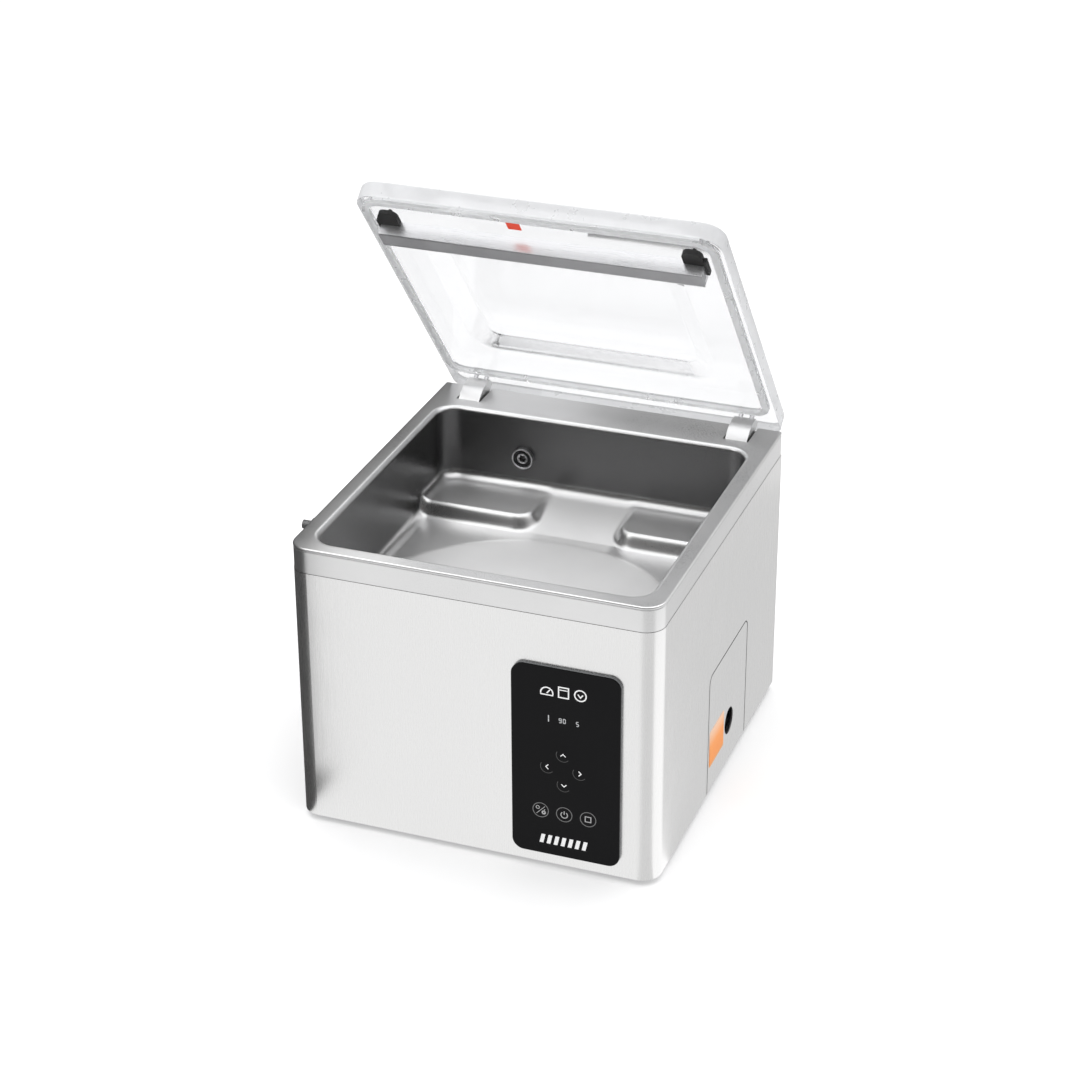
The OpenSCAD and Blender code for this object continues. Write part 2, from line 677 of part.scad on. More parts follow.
module base_screws() {
  color([0.78, 0.78, 0.79]) for (s = [-1, 1]) for (p = [[s * (hw - 8), -130], [s * (hw - 8), 150], [s * 120, fy + 8]]) {
    rod_z([p[0], p[1], foot_h - 2.2], 3.8, 2.2);
    rod_z([p[0], p[1], foot_h - 0.5], 2, 9);
  }
}

// ---------- lid and what turns with it ----------

// Thick clear plate with a sloping pocket in its underside
module lid_shell() {
  color([0.85, 0.9, 0.93, 0.35]) opened() difference() {
    slab(-lid_hw, lid_hw, lid_y0, lid_y1, [22, 22, 15, 15], lid_z, lid_z + lid_t);
    // pocket with sloping walls
    hull() {
      translate([0, 0, lid_z - 1]) linear_extrude(1) rr(-134, 134, -126, 97, [26, 26, 26, 26], $fn = 32);
      translate([0, 0, lid_z + pocket_t - 0.5]) linear_extrude(0.5) rr(-114, 114, -106, 77, [14, 14, 14, 14], $fn = 32);
    }
    // groove for the gasket
    difference() {
      slab(-180.7, 180.7, -197.2, 161.2, [22.2, 22.2, 20.2, 20.2], lid_z - 1, lid_z + 4.1);
      slab(-173.3, 173.3, -189.8, 153.8, [14.8, 14.8, 12.8, 12.8], lid_z - 2, lid_z + 5);
    }
    // screw holes above the hinge arms
    for (s = [-1, 1]) for (d = [-6, 6]) {
      rod_z([s * arm_x + d, hy - 21, lid_z - 1], 2.7, lid_t + 2);
      rod_z([s * arm_x + d, hy - 21, lid_z + lid_t - 5], 5.2, 6);
    }
    // screw holes of the counter bar clips
    for (s = [-1, 1]) rod_z([s * 155, -170, lid_z - 1], 2.1, 11);
  }
}

module lid_gasket() {
  color([0.8, 0.8, 0.78]) opened() difference() {
    slab(-180.5, 180.5, -197, 161, [22, 22, 20, 20], rim_z + 0.15, lid_z + 4);
    slab(-173.5, 173.5, -190, 154, [15, 15, 13, 13], rim_z - 1, lid_z + 6);
  }
}

module counter_bar() {
  color([0.82, 0.82, 0.83]) opened() difference() {
    box([-165, bar_y - 11, lid_z - 16], [165, bar_y + 11, lid_z]);
    box([-170, bar_y - 9.2, lid_z - 17], [170, bar_y + 9.2, lid_z - 12.5]);
    box([-170, bar_y - 5, lid_z - 13], [170, bar_y + 5, lid_z - 8]);
  }
}

module counter_bar_silicone() {
  color([0.45, 0.46, 0.47]) opened() union() {
    box([-165, bar_y - 9.1, lid_z - 16.4], [165, bar_y + 9.1, lid_z - 12.5]);
    box([-165, bar_y - 4.8, lid_z - 12.6], [165, bar_y + 4.8, lid_z - 8.2]);
  }
}

// Black clips that hold the ends of the counter bar, each with its screw stub
module bar_clips() {
  color([0.06, 0.06, 0.06]) opened() for (s = [-1, 1]) {
    union() {
      slab(s * 155 - 10, s * 155 + 10, -179.5, -159.1, [8, 8, 1, 1], lid_z - 5.5, lid_z);
      rod_z([s * 155, -170, lid_z - 2], 2, 11);
      box([s > 0 ? 165.1 : -168.1, -166, lid_z - 5.5], [s > 0 ? 168.1 : -165.1, -142, lid_z]);
      box([s > 0 ? 160 : -168.1, -166, lid_z - 5.5], [s > 0 ? 168.1 : -160, -159.1, lid_z]);
    }
  }
}

// Curved arm that rises through the rim, with an ear for the lid pin and one for the gas spring
module hinge_arm(s) {
  cheek = [[-4, -9], [-14, -16], [-24, -17], [-31, -13], [-36.2, -8], [-60, 0], [-60, 29], [-14.5, 29], [-14.5, 20], [-4, 9]];
  color([0.8, 0.8, 0.81]) opened() translate([s * arm_x, hy, hz]) difference() {
    union() {
      // cheeks
      for (d = [-arm_w / 2, arm_w / 2 - 3]) {
        intersection() {
          side_profile(d, d + 3, cheek);
          rod_x([d - 1, 0, 0], arm_r, 5);
        }
        rod_x([d, 0, 0], 6.5, 3);
      }
      // curved front plate and the block under the lid
      intersection() {
        side_profile(-arm_w / 2, arm_w / 2, [[-20, 18], [-36.2, -8], [-60, 0], [-60, 29], [-14.5, 29], [-14.5, 20]]);
        union() {
          difference() {
            rod_x([-arm_w / 2, 0, 0], arm_r, arm_w);
            rod_x([-arm_w / 2 - 1, 0, 0], arm_r - 3, arm_w + 2);
          }
          intersection() {
            rod_x([-arm_w / 2, 0, 0], arm_r, arm_w);
            box([-arm_w / 2, -40, 21], [arm_w / 2, -14.5, 29]);
          }
        }
      }
      // cross pin of the gas spring
      rod_x([-arm_w / 2, -19.9, -9.35], 3, arm_w);
    }
    rod_x([-20, 0, 0], 4.05, 40);
    for (d = [-6, 6]) rod_z([d, -21, 19], 2.5, 20);
  }
}
module hinge_arm_left() { hinge_arm(-1); }
module hinge_arm_right() { hinge_arm(1); }

module arm_screws() {
  color([0.78, 0.78, 0.79]) opened() for (s = [-1, 1]) for (d = [-6, 6]) {
    rod_z([s * arm_x + d, hy - 21, lid_z + lid_t - 5], 4.6, 4);
    rod_z([s * arm_x + d, hy - 21, lid_z - 7.5], 2.45, 22);
  }
}

module lid_label() {
  color([0.85, 0.2, 0.15]) opened() slab(-30, -16, -186, -173, [1, 1, 1, 1], lid_z - 0.3, lid_z);
}

casing();
chamber_tub();
back_panel();
base_plate();
rubber_feet();
foot_screws();
service_cover();
oil_sight_glass();
service_label();
control_glass();
control_bezel();
control_board();
display_module();
board_standoffs();
power_inlet();
main_switch_housing();
main_switch_rocker();
pump_housing();
pump_oil_tank();
motor_housing();
motor_shaft();
cooling_fan();
fan_cover();
oil_filler_cap();
exhaust_filter();
pump_mounts();
suction_fitting();
suction_elbow();
suction_hose();
pump_hose();
valve_manifold();
solenoid_valves();
external_vacuum_port();
transformer_core();
transformer_coil();
power_board();
hinge_brackets();
hinge_pins();
gas_spring_cylinders();
gas_spring_brackets();
gas_rod_left();
gas_rod_right();
lift_cylinders();
lift_rods();
seal_bar();
heating_wires();
ptfe_tape();
back_panel_screws();
base_screws();
lid_switch_body();
lid_switch_plunger();
lid_shell();
lid_gasket();
counter_bar();
counter_bar_silicone();
bar_clips();
hinge_arm_left();
hinge_arm_right();
arm_screws();
lid_label();
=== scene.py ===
import math
import bpy, bmesh, json
from mathutils import Vector, Matrix


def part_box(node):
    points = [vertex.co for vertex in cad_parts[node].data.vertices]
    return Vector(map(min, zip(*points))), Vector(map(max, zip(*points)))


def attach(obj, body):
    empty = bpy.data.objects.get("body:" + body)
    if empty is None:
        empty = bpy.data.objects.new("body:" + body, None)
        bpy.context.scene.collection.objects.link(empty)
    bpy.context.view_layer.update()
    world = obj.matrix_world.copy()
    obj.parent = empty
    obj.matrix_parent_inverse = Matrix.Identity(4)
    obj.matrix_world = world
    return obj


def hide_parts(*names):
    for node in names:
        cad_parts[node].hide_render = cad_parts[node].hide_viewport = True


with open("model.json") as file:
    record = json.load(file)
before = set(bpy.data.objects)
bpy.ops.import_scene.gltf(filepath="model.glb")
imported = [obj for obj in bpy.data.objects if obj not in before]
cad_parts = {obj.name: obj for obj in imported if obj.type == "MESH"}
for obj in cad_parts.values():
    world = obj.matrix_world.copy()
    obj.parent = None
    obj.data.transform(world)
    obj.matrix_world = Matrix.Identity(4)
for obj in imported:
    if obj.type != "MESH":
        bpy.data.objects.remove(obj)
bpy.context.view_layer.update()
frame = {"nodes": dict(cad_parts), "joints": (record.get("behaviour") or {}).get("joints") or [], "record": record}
N = frame["nodes"]
MM = 0.001

# ---------- camera ----------
cam_data = bpy.data.cameras.new("camera")
cam = bpy.data.objects.new("camera", cam_data)
bpy.context.scene.collection.objects.link(cam)
bpy.context.scene.camera = cam
cam_data.sensor_width = 36.0
cam_data.lens = 90.263
cam_data.clip_start = 0.05
cam_data.clip_end = 60
AZ, EL, ROLL = math.radians(20.3925), math.radians(27.4084), math.radians(-0.24707)
back = Vector((math.sin(AZ) * math.cos(EL), -math.cos(AZ) * math.cos(EL), math.sin(EL)))
fwd = -back
rgt = fwd.cross(Vector((0, 0, 1))).normalized()
upv = rgt.cross(fwd)
r2 = math.cos(ROLL) * rgt + math.sin(ROLL) * upv
u2 = -math.sin(ROLL) * rgt + math.cos(ROLL) * upv
rot = Matrix((r2, u2, -fwd)).transposed()
cam.matrix_world = Matrix.Translation((0.84804, -2.29500, 1.51875)) @ rot.to_4x4()


# ---------- node helpers ----------
class Tree:
    """A short way to write a material's nodes."""

    def __init__(self, name):
        self.m = bpy.data.materials.new(name)
        self.m.use_nodes = True
        self.t = self.m.node_tree
        self.b = self.t.nodes["Principled BSDF"]
        self.tc = self.t.nodes.new("ShaderNodeTexCoord")

    def node(self, kind, **kw):
        n = self.t.nodes.new("ShaderNode" + kind)
        for k, v in kw.items():
            setattr(n, k, v)
        return n

    def link(self, a, b):
        self.t.links.new(a, b)

    def coords(self, scale=(1, 1, 1), rot=(0, 0, 0), loc=(0, 0, 0)):
        n = self.node("Mapping")
        n.inputs["Scale"].default_value = scale
        n.inputs["Rotation"].default_value = rot
        n.inputs["Location"].default_value = loc
        self.link(self.tc.outputs["Object"], n.inputs["Vector"])
        return n.outputs["Vector"]

    def noise(self, vec, scale, detail=3.0, rough=0.5):
        n = self.node("TexNoise")
        n.inputs["Scale"].default_value = scale
        n.inputs["Detail"].default_value = detail
        n.inputs["Roughness"].default_value = rough
        self.link(vec, n.inputs["Vector"])
        return n.outputs["Fac"]

    def ramp(self, fac, stops):
        n = self.node("ValToRGB")
        e = n.color_ramp.elements
        e[0].position, e[0].color = stops[0][0], (*stops[0][1], 1)
        e[1].position, e[1].color = stops[-1][0], (*stops[-1][1], 1)
        for p, c in stops[1:-1]:
            k = e.new(p)
            k.color = (*c, 1)
        self.link(fac, n.inputs["Fac"])
        return n.outputs["Color"]

    def rng(self, fac, a, b, lo=0.0, hi=1.0):
        n = self.node("MapRange")
        n.inputs["From Min"].default_value = lo
        n.inputs["From Max"].default_value = hi
        n.inputs["To Min"].default_value = a
        n.inputs["To Max"].default_value = b
        self.link(fac, n.inputs["Value"])
        return n.outputs["Result"]

    def math(self, op, a, b=None):
        n = self.node("Math", operation=op)
        for i, v in enumerate((a, b)):
            if v is None:
                continue
            if isinstance(v, (int, float)):
                n.inputs[i].default_value = v
            else:
                self.link(v, n.inputs[i])
        return n.outputs[0]

    def mix(self, fac, a, b, kind="MIX"):
        n = self.node("Mix", data_type="RGBA", blend_type=kind)
        for key, v in ((0, fac), (6, a), (7, b)):
            if isinstance(v, (int, float)):
                n.inputs[key].default_value = v
            elif isinstance(v, tuple):
                n.inputs[key].default_value = (*v, 1)
            else:
                self.link(v, n.inputs[key])
        return n.outputs[2]

    def bump(self, height, strength, dist=0.001):
        n = self.node("Bump")
        n.inputs["Strength"].default_value = strength
        n.inputs["Distance"].default_value = dist
        self.link(height, n.inputs["Height"])
        self.link(n.outputs["Normal"], self.b.inputs["Normal"])

    def set(self, **kw):
        names = dict(metal="Metallic", rough="Roughness", ior="IOR", spec="Specular IOR Level",
                     trans="Transmission Weight", coat="Coat Weight", coat_rough="Coat Roughness",
                     sheen="Sheen Weight", aniso="Anisotropic", emis="Emission Strength", alpha="Alpha",
                     sub="Subsurface Weight")
        for k, v in kw.items():
            self.b.inputs[names[k]].default_value = v
        return self

    def colour(self, c):
        if isinstance(c, tuple):
            self.b.inputs["Base Color"].default_value = (*c, 1)
        else:
            self.link(c, self.b.inputs["Base Color"])

    def rough(self, c):
        self.link(c, self.b.inputs["Roughness"])


def g(v, k=1.0):
    return (v * k, v * k, v * k)


def brushed(name, col, rough=0.34, grain=(1, 1, 60), amount=0.05, bump=0.05, blotch=0.03, edge=0.0, scale=260):
    """Satin stainless: fine drawn-out grain, slow cloudiness and faint handling marks."""
    t = Tree(name)
    t.set(metal=1.0)
    fine = t.noise(t.coords(scale=grain), scale, 4.0, 0.6)
    slow = t.noise(t.coords(), 7.0, 3.0, 0.55)
    lo = tuple(c * (1 - amount) for c in col)
    hi = tuple(min(1, c * (1 + amount)) for c in col)
    base = t.ramp(fine, [(0.3, lo), (0.7, hi)])
    cloud = t.ramp(slow, [(0.3, g(1 - blotch)), (0.7, g(1.0))])
    col2 = t.mix(1.0, base, cloud, "MULTIPLY")
    t.colour(col2)
    r = t.rng(fine, rough - 0.05, rough + 0.05, 0.3, 0.7)
    r2 = t.math("ADD", r, t.rng(slow, -0.03, 0.03, 0.3, 0.7))
    t.rough(r2)
    t.bump(fine, bump, 0.0002)
    return t.m


def cast(name, col, metal=0.0, rough=0.55, scale=900, bump=0.25, amount=0.12):
    """Cast or blasted metal, or painted castings: a fine pebbled skin."""
    t = Tree(name)
    t.set(metal=metal)
    a = t.noise(t.coords(), scale, 3.0, 0.6)
    s = t.noise(t.coords(), 14.0, 3.0)
    base = t.ramp(a, [(0.3, tuple(c * (1 - amount) for c in col)), (0.7, tuple(min(1, c * (1 + amount)) for c in col))])
    t.colour(t.mix(1.0, base, t.ramp(s, [(0.3, g(0.9)), (0.7, g(1.0))]), "MULTIPLY"))
    t.rough(t.rng(s, rough - 0.06, rough + 0.08, 0.3, 0.7))
    t.bump(a, bump, 0.0003)
    return t.m


def moulded(name, col, rough=0.5, bump=0.15, scale=1400, spec=0.4, amount=0.15):
    """Moulded plastic or rubber with a fine spark-eroded skin and slight scuffs."""
    t = Tree(name)
    t.set(spec=spec)
    a = t.noise(t.coords(), scale, 2.0, 0.6)
    s = t.noise(t.coords(), 30.0, 4.0, 0.6)
    t.colour(t.ramp(s, [(0.25, tuple(c * (1 - amount) for c in col)), (0.75, tuple(min(1, c * (1 + amount)) for c in col))]))
    t.rough(t.rng(s, rough - 0.06, rough + 0.06, 0.3, 0.7))
    t.bump(a, bump, 0.0002)
    return t.m


# ---------- mesh helpers ----------
def new_obj(name, bm, mat=None, smooth=35.0):
    me = bpy.data.meshes.new(name)
    bm.normal_update()
    bm.to_mesh(me)
    bm.free()
    o = bpy.data.objects.new(name, me)
    bpy.context.scene.collection.objects.link(o)
    if mat:
        me.materials.append(mat)
    if smooth:
        smooth_by_angle(o, smooth)
    return o


def smooth_by_angle(o, deg):
    me = o.data
    me.polygons.foreach_set("use_smooth", [True] * len(me.polygons))
    bm = bmesh.new()
    bm.from_mesh(me)
    lim = math.radians(deg)
    for e in bm.edges:
        e.smooth = not (len(e.link_faces) != 2 or e.calc_face_angle(0) > lim)
    bm.to_mesh(me)
    bm.free()


def weighted(o):
    w = o.modifiers.new("weighted", "WEIGHTED_NORMAL")
    w.keep_sharp = True
    w.weight = 80
    return o


def apply_all(o):
    """Puts the result of an object's modifiers into its mesh."""
    dg = bpy.context.evaluated_depsgraph_get()
    dg.update()
    ev = o.evaluated_get(dg)
    me = bpy.data.meshes.new_from_object(ev, depsgraph=dg)
    o.modifiers.clear()
    old = o.data
    o.data = me
    bpy.data.meshes.remove(old)
    return o


def loops_mesh(bm, loops, close_first=False, close_last=False, cyclic=True):
    """Joins loops of matching points with quads, and returns the rings of vertices."""
    rings = [[bm.verts.new(p) for p in L] for L in loops]
    n = len(rings[0])
    for a, b in zip(rings, rings[1:]):
        for i in range(n if cyclic else n - 1):
            j = (i + 1) % n
            bm.faces.new((a[i], a[j], b[j], b[i]))
    if close_first:
        bm.faces.new(list(reversed(rings[0])))
    if close_last:
        bm.faces.new(rings[-1])
    return rings


def rrect(x0, x1, y0, y1, radii, z, arc=8, nx=1, ny=1):
    """Points round a rounded rectangle, anticlockwise from the front left arc. radii: fl, fr, rr, rl."""
    out = []
    spec = [(x0, y0, radii[0], 180, nx), (x1, y0, radii[1], 270, ny), (x1, y1, radii[2], 0, nx), (x0, y1, radii[3], 90, ny)]
    arcs = []
    for cx, cy, r, a0, _ in spec:
        sx = 1 if cx == x0 else -1
        sy = 1 if cy == y0 else -1
        ox, oy = cx + sx * r, cy + sy * r
        arcs.append([(ox + r * math.cos(math.radians(a0 + 90 * i / arc)), oy + r * math.sin(math.radians(a0 + 90 * i / arc)), z) for i in range(arc + 1)])
    for k in range(4):
        a = arcs[k]
        b = arcs[(k + 1) % 4]
        out += a
        n = spec[k][4]
        p, q = Vector(a[-1]), Vector(b[0])
        out += [tuple(p.lerp(q, i / n)) for i in range(1, n)]
    return out


def scaled(loop):
    return [Vector(p) * MM for p in loop]


def cutter(bm, name="cut"):
    me = bpy.data.meshes.new(name)
    bm.normal_update()
    bm.to_mesh(me)
    bm.free()
    o = bpy.data.objects.new(name, me)
    bpy.context.scene.collection.objects.link(o)
    return o


def add_box(bm, lo, hi):
    r = bmesh.ops.create_cube(bm, size=1.0)
    for v in r["verts"]:
        v.co = Vector([lo[i] + (v.co[i] + 0.5) * (hi[i] - lo[i]) for i in range(3)])
    return r["verts"]


def add_cyl(bm, p, axis, r, l, seg=48):
    """A round bar from point p along an axis letter."""
    m = {"x": Matrix.Rotation(math.radians(90), 4, "Y"), "y": Matrix.Rotation(math.radians(-90), 4, "X"), "z": Matrix.Identity(4)}[axis]
    d = {"x": Vector((1, 0, 0)), "y": Vector((0, 1, 0)), "z": Vector((0, 0, 1))}[axis]
    bmesh.ops.create_cone(bm, cap_ends=True, segments=seg, radius1=r, radius2=r, depth=l,
                          matrix=Matrix.Translation(Vector(p) + d * l / 2) @ m)


def boolean(o, cut, op="DIFFERENCE"):
    m = o.modifiers.new("cut", "BOOLEAN")
    m.operation = op
    m.solver = "EXACT"
    m.object = cut
    apply_all(o)
    bpy.data.objects.remove(cut)
    return o


# sizes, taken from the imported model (mm)
def mmbox(n):
    lo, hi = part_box(n)
    return lo * 1000, hi * 1000


tub_lo, tub_hi = mmbox("chamber_tub")
RIM = tub_hi.z                      # top of the rim
HW = tub_hi.x                       # half width
FY, RY = tub_lo.y, tub_hi.y         # front and rear faces
CASE_TOP = mmbox("casing")[1].z
hinge = next(j for j in frame["joints"] if j["name"] == "lid_hinge")
HP = Vector(hinge["pos_m"]) * 1000
LID_OPEN = math.radians(50.3)


def opened(p):
    """A point of the closed lid, turned to the open lid (mm)."""
    y, z = p[1] - HP.y, p[2] - HP.z
    c, s = math.cos(-LID_OPEN), math.sin(-LID_OPEN)
    return Vector((p[0], HP.y + y * c - z * s, HP.z + y * s + z * c))


# ---------- materials ----------
M = {}
M["brushed_steel_casing"] = brushed("steel_casing", (0.79, 0.788, 0.785), rough=0.27, grain=(60, 60, 0.6), amount=0.014, bump=0.009, blotch=0.025, scale=40)
M["tub_steel"] = brushed("steel_tub", (0.71, 0.71, 0.713), rough=0.29, grain=(3, 3, 3), amount=0.04, bump=0.05, blotch=0.05, scale=500)


def tub_with_painted_shade():
    """The tub's sheet: polished rim and skirt, walls with painted shade (a darker base colour wherever the surface
    turns near vertical), and a blasted floor.
    """
    t = Tree("steel_tub_drawn")
    fine = t.noise(t.coords(scale=(3, 3, 3)), 500, 4.0, 0.6)
    slow = t.noise(t.coords(), 9.0, 3.0, 0.55)
    wall = t.node("Attribute", attribute_name="wall").outputs["Fac"]
    bed = t.node("Attribute", attribute_name="bed").outputs["Fac"]
    # Painted shade: the base colour drops from 0.77 to a dark grey on the chamber's near-vertical faces, by the
    # per-vertex weight read above.
    base = t.mix(wall, g(0.77), PAINTED_WALL_SHADE_COLOUR)
    base = t.mix(1.0, base, t.ramp(fine, [(0.3, g(0.96)), (0.7, g(1.0))]), "MULTIPLY")
    t.colour(t.mix(1.0, base, t.ramp(slow, [(0.3, g(0.93)), (0.7, g(1.0))]), "MULTIPLY"))
    t.link(t.math("SUBTRACT", 1.0, t.math("MULTIPLY", bed, BED_DIFFUSE)), t.b.inputs["Metallic"])
    r = t.math("ADD", t.rng(fine, 0.26, 0.34, 0.3, 0.7), t.math("MULTIPLY", bed, 0.14))
    t.rough(t.math("ADD", r, t.rng(slow, -0.02, 0.03, 0.3, 0.7)))
    t.bump(fine, 0.05, 0.0002)
    return t.m


# Dark grey painted onto the chamber walls as shade, and how far the floor turns diffuse.
PAINTED_WALL_SHADE_COLOUR, BED_DIFFUSE = (0.16, 0.16, 0.162), 0.45
M["tub_drawn"] = tub_with_painted_shade()
M["sheet_steel"] = brushed("steel_sheet", (0.58, 0.58, 0.585), rough=0.38, grain=(60, 60, 0.6), amount=0.05, bump=0.03, blotch=0.05, scale=40)
M["zinc_steel"] = brushed("zinc", (0.60, 0.60, 0.61), rough=0.3, grain=(1, 1, 1), amount=0.08, bump=0.05, blotch=0.1, scale=700)
M["chromed_rod"] = brushed("chromed", (0.72, 0.72, 0.74), rough=0.16, grain=(1, 1, 30), amount=0.03, bump=0.02, blotch=0.04, scale=200)
M["seal_wire"] = brushed("wire", (0.56, 0.52, 0.46), rough=0.3, grain=(1, 60, 60), amount=0.08, bump=0.05, blotch=0.2, scale=60)
M["bar_aluminium"] = brushed("aluminium_bar", (0.71, 0.71, 0.72), rough=0.3, grain=(0.8, 60, 60), amount=0.05, bump=0.05, blotch=0.03, scale=60)
M["arm_aluminium"] = brushed("aluminium_arm", (0.75, 0.75, 0.75), rough=0.36, grain=(3, 3, 3), amount=0.04, bump=0.08, blotch=0.04, scale=700)
M["cast_aluminium"] = cast("aluminium_cast", (0.52, 0.53, 0.54), metal=1.0, rough=0.45)
M["brass"] = brushed("brass", (0.70, 0.50, 0.22), rough=0.25, grain=(1, 1, 1), amount=0.08, bump=0.03, blotch=0.1, scale=400)
M["pump_iron"] = cast("iron_painted", (0.16, 0.17, 0.18), rough=0.45, scale=500)
M["dark_motor_paint"] = cast("motor_paint", (0.045, 0.055, 0.065), rough=0.35, scale=700, bump=0.15)
M["core_steel"] = cast("laminations", (0.10, 0.10, 0.105), metal=0.6, rough=0.5, scale=900)
# Near-black; the suction nut's socket and ring groove wear it as painted shade.
M["recess_dark"] = cast("recess_dark", (0.02, 0.02, 0.021), metal=0.0, rough=0.5, bump=0.1)
M["black_plastic"] = moulded("plastic_black", (0.022, 0.022, 0.023), rough=0.5)
M["grey_plastic"] = moulded("plastic_grey", (0.17, 0.175, 0.18), rough=0.35, spec=0.5)
M["black_rubber"] = moulded("rubber_black", (0.012, 0.012, 0.012), rough=0.55, bump=0.2, scale=1800)
M["grey_silicone"] = moulded("silicone_grey", (0.25, 0.25, 0.258), rough=0.4, bump=0.1, scale=1200)
M["red_plastic"] = moulded("plastic_red", (0.42, 0.02, 0.015), rough=0.3, spec=0.5)


def glassy():
    t = Tree("acrylic_clear")
    s = t.noise(t.coords(), 9.0, 3.0)
    t.set(trans=1.0, ior=1.18)
    t.colour(t.ramp(s, [(0.3, (0.775, 0.778, 0.785)), (0.7, (0.793, 0.796, 0.803))]))
    t.rough(t.rng(s, 0.02, 0.07, 0.35, 0.7))
    t.bump(t.noise(t.coords(), 6.0, 2.0), 0.05, 0.004)
    return t.m


M["clear_acrylic"] = glassy()


def frosted():
    """The lid's cut edges: milky where the saw and flame polish left them."""
    t = Tree("acrylic_edge")
    s = t.noise(t.coords(), 40.0, 4.0, 0.6)
    t.set(trans=0.25, ior=1.3, spec=0.4)
    t.colour(t.ramp(s, [(0.3, (0.655, 0.66, 0.67)), (0.7, (0.70, 0.705, 0.715))]))
    t.rough(t.rng(s, 0.25, 0.4, 0.35, 0.7))
    t.bump(t.noise(t.coords(), 300.0, 3.0), 0.08, 0.0003)
    return t.m


M["acrylic_edge"] = frosted()


def gasket_mat():
    t = Tree("silicone_clear")
    s = t.noise(t.coords(), 60.0, 3.0)
    t.set(trans=0.8, spec=0.5, ior=1.41)
    t.colour(t.ramp(s, [(0.3, (0.84, 0.845, 0.85)), (0.7, (0.90, 0.905, 0.91))]))
    t.rough(t.rng(s, 0.25, 0.4, 0.3, 0.7))
    t.bump(t.noise(t.coords(), 900.0, 2.0), 0.1, 0.0002)
    return t.m


M["clear_silicone"] = gasket_mat()


def black_glass():
    t = Tree("glass_black")
    t.set(spec=0.06, ior=1.5, coat=0.0)
    s = t.noise(t.coords(), 5.0, 3.0)
    fine = t.noise(t.coords(), 60.0, 4.0, 0.7)
    t.colour(t.ramp(s, [(0.3, (0.0055, 0.0055, 0.006)), (0.7, (0.0075, 0.0075, 0.008))]))
    t.rough(t.rng(fine, 0.08, 0.16, 0.35, 0.75))
    t.bump(s, 0.02, 0.002)
    return t.m


M["black_glass"] = black_glass()


def board_mat():
    t = Tree("board_green")
    t.set(spec=0.5)
    a = t.noise(t.coords(), 120.0, 2.0)
    v = t.node("TexVoronoi")
    v.inputs["Scale"].default_value = 220
    t.link(t.coords(), v.inputs["Vector"])
    t.colour(t.mix(t.rng(v.outputs["Distance"], 0.0, 1.0, 0.28, 0.3), (0.10, 0.20, 0.08), (0.015, 0.085, 0.035)))
    t.rough(t.rng(a, 0.3, 0.45))
    t.bump(a, 0.1, 0.0003)
    return t.m


M["green_board"] = board_mat()


def coil_mat():
    t = Tree("coil_copper")
    t.set(metal=1.0)
    w = t.node("TexWave", wave_type="BANDS", bands_direction="Z")
    w.inputs["Scale"].default_value = 160
    w.inputs["Distortion"].default_value = 0.6
    t.link(t.coords(), w.inputs["Vector"])
    t.colour(t.ramp(w.outputs["Fac"], [(0.0, (0.12, 0.035, 0.012)), (0.5, (0.50, 0.20, 0.07)), (1.0, (0.60, 0.27, 0.10))]))
    t.rough(t.rng(w.outputs["Fac"], 0.5, 0.25))
    t.bump(w.outputs["Fac"], 0.6, 0.0006)
    return t.m


M["copper_coil"] = coil_mat()


def label_mat(name, lo_z, hi_z, stops, axis="Z"):
    """Printed film: plain fields of colour one above the other, with print mottle."""
    t = Tree(name)
    t.set(spec=0.35)
    sep = t.node("SeparateXYZ")
    t.link(t.tc.outputs["Object"], sep.inputs[0])
    f = t.rng(sep.outputs[axis], 0, 1, lo_z, hi_z)
    r = t.node("ValToRGB")
    r.color_ramp.interpolation = "LINEAR"
    e = r.color_ramp.elements
    e[0].position, e[0].color = stops[0][0], (*stops[0][1], 1)
    e[1].position, e[1].color = stops[-1][0], (*stops[-1][1], 1)
    for p, c in stops[1:-1]:
        e.new(p).color = (*c, 1)
    t.link(f, r.inputs["Fac"])
    n = t.noise(t.coords(), 500.0, 3.0)
    t.colour(t.mix(1.0, r.outputs["Color"], t.ramp(n, [(0.3, g(0.93)), (0.7, g(1.0))]), "MULTIPLY"))
    t.rough(t.rng(n, 0.35, 0.5))
    t.bump(n, 0.05, 0.0001)
    return t.m


M["orange_label"] = label_mat("film_orange", 0.036, 0.078, [(0.0, (0.80, 0.36, 0.12)), (0.12, (0.93, 0.30, 0.045)), (0.55, (0.95, 0.33, 0.06)), (0.75, (0.93, 0.46, 0.22)), (1.0, (0.90, 0.60, 0.42))])
M["red_label"] = label_mat("film_red", 0.0, 1.0, [(0.0, (0.80, 0.07, 0.03)), (1.0, (0.80, 0.07, 0.03))])


def ptfe():
    t = Tree("cloth_nonstick")
    t.set(spec=0.4)
    b = t.node("TexBrick")
    b.offset = 0.5
    b.inputs["Scale"].default_value = 900
    b.inputs["Color1"].default_value = (0.30, 0.19, 0.10, 1)
    b.inputs["Color2"].default_value = (0.24, 0.15, 0.08, 1)
    b.inputs["Mortar"].default_value = (0.12, 0.07, 0.035, 1)
    t.link(t.coords(), b.inputs["Vector"])
    t.colour(b.outputs["Color"])
    t.rough(t.rng(t.noise(t.coords(), 40.0), 0.35, 0.5))
    t.bump(b.outputs["Fac"], 0.3, 0.0002)
    return t.m


M["ptfe_cloth"] = ptfe()


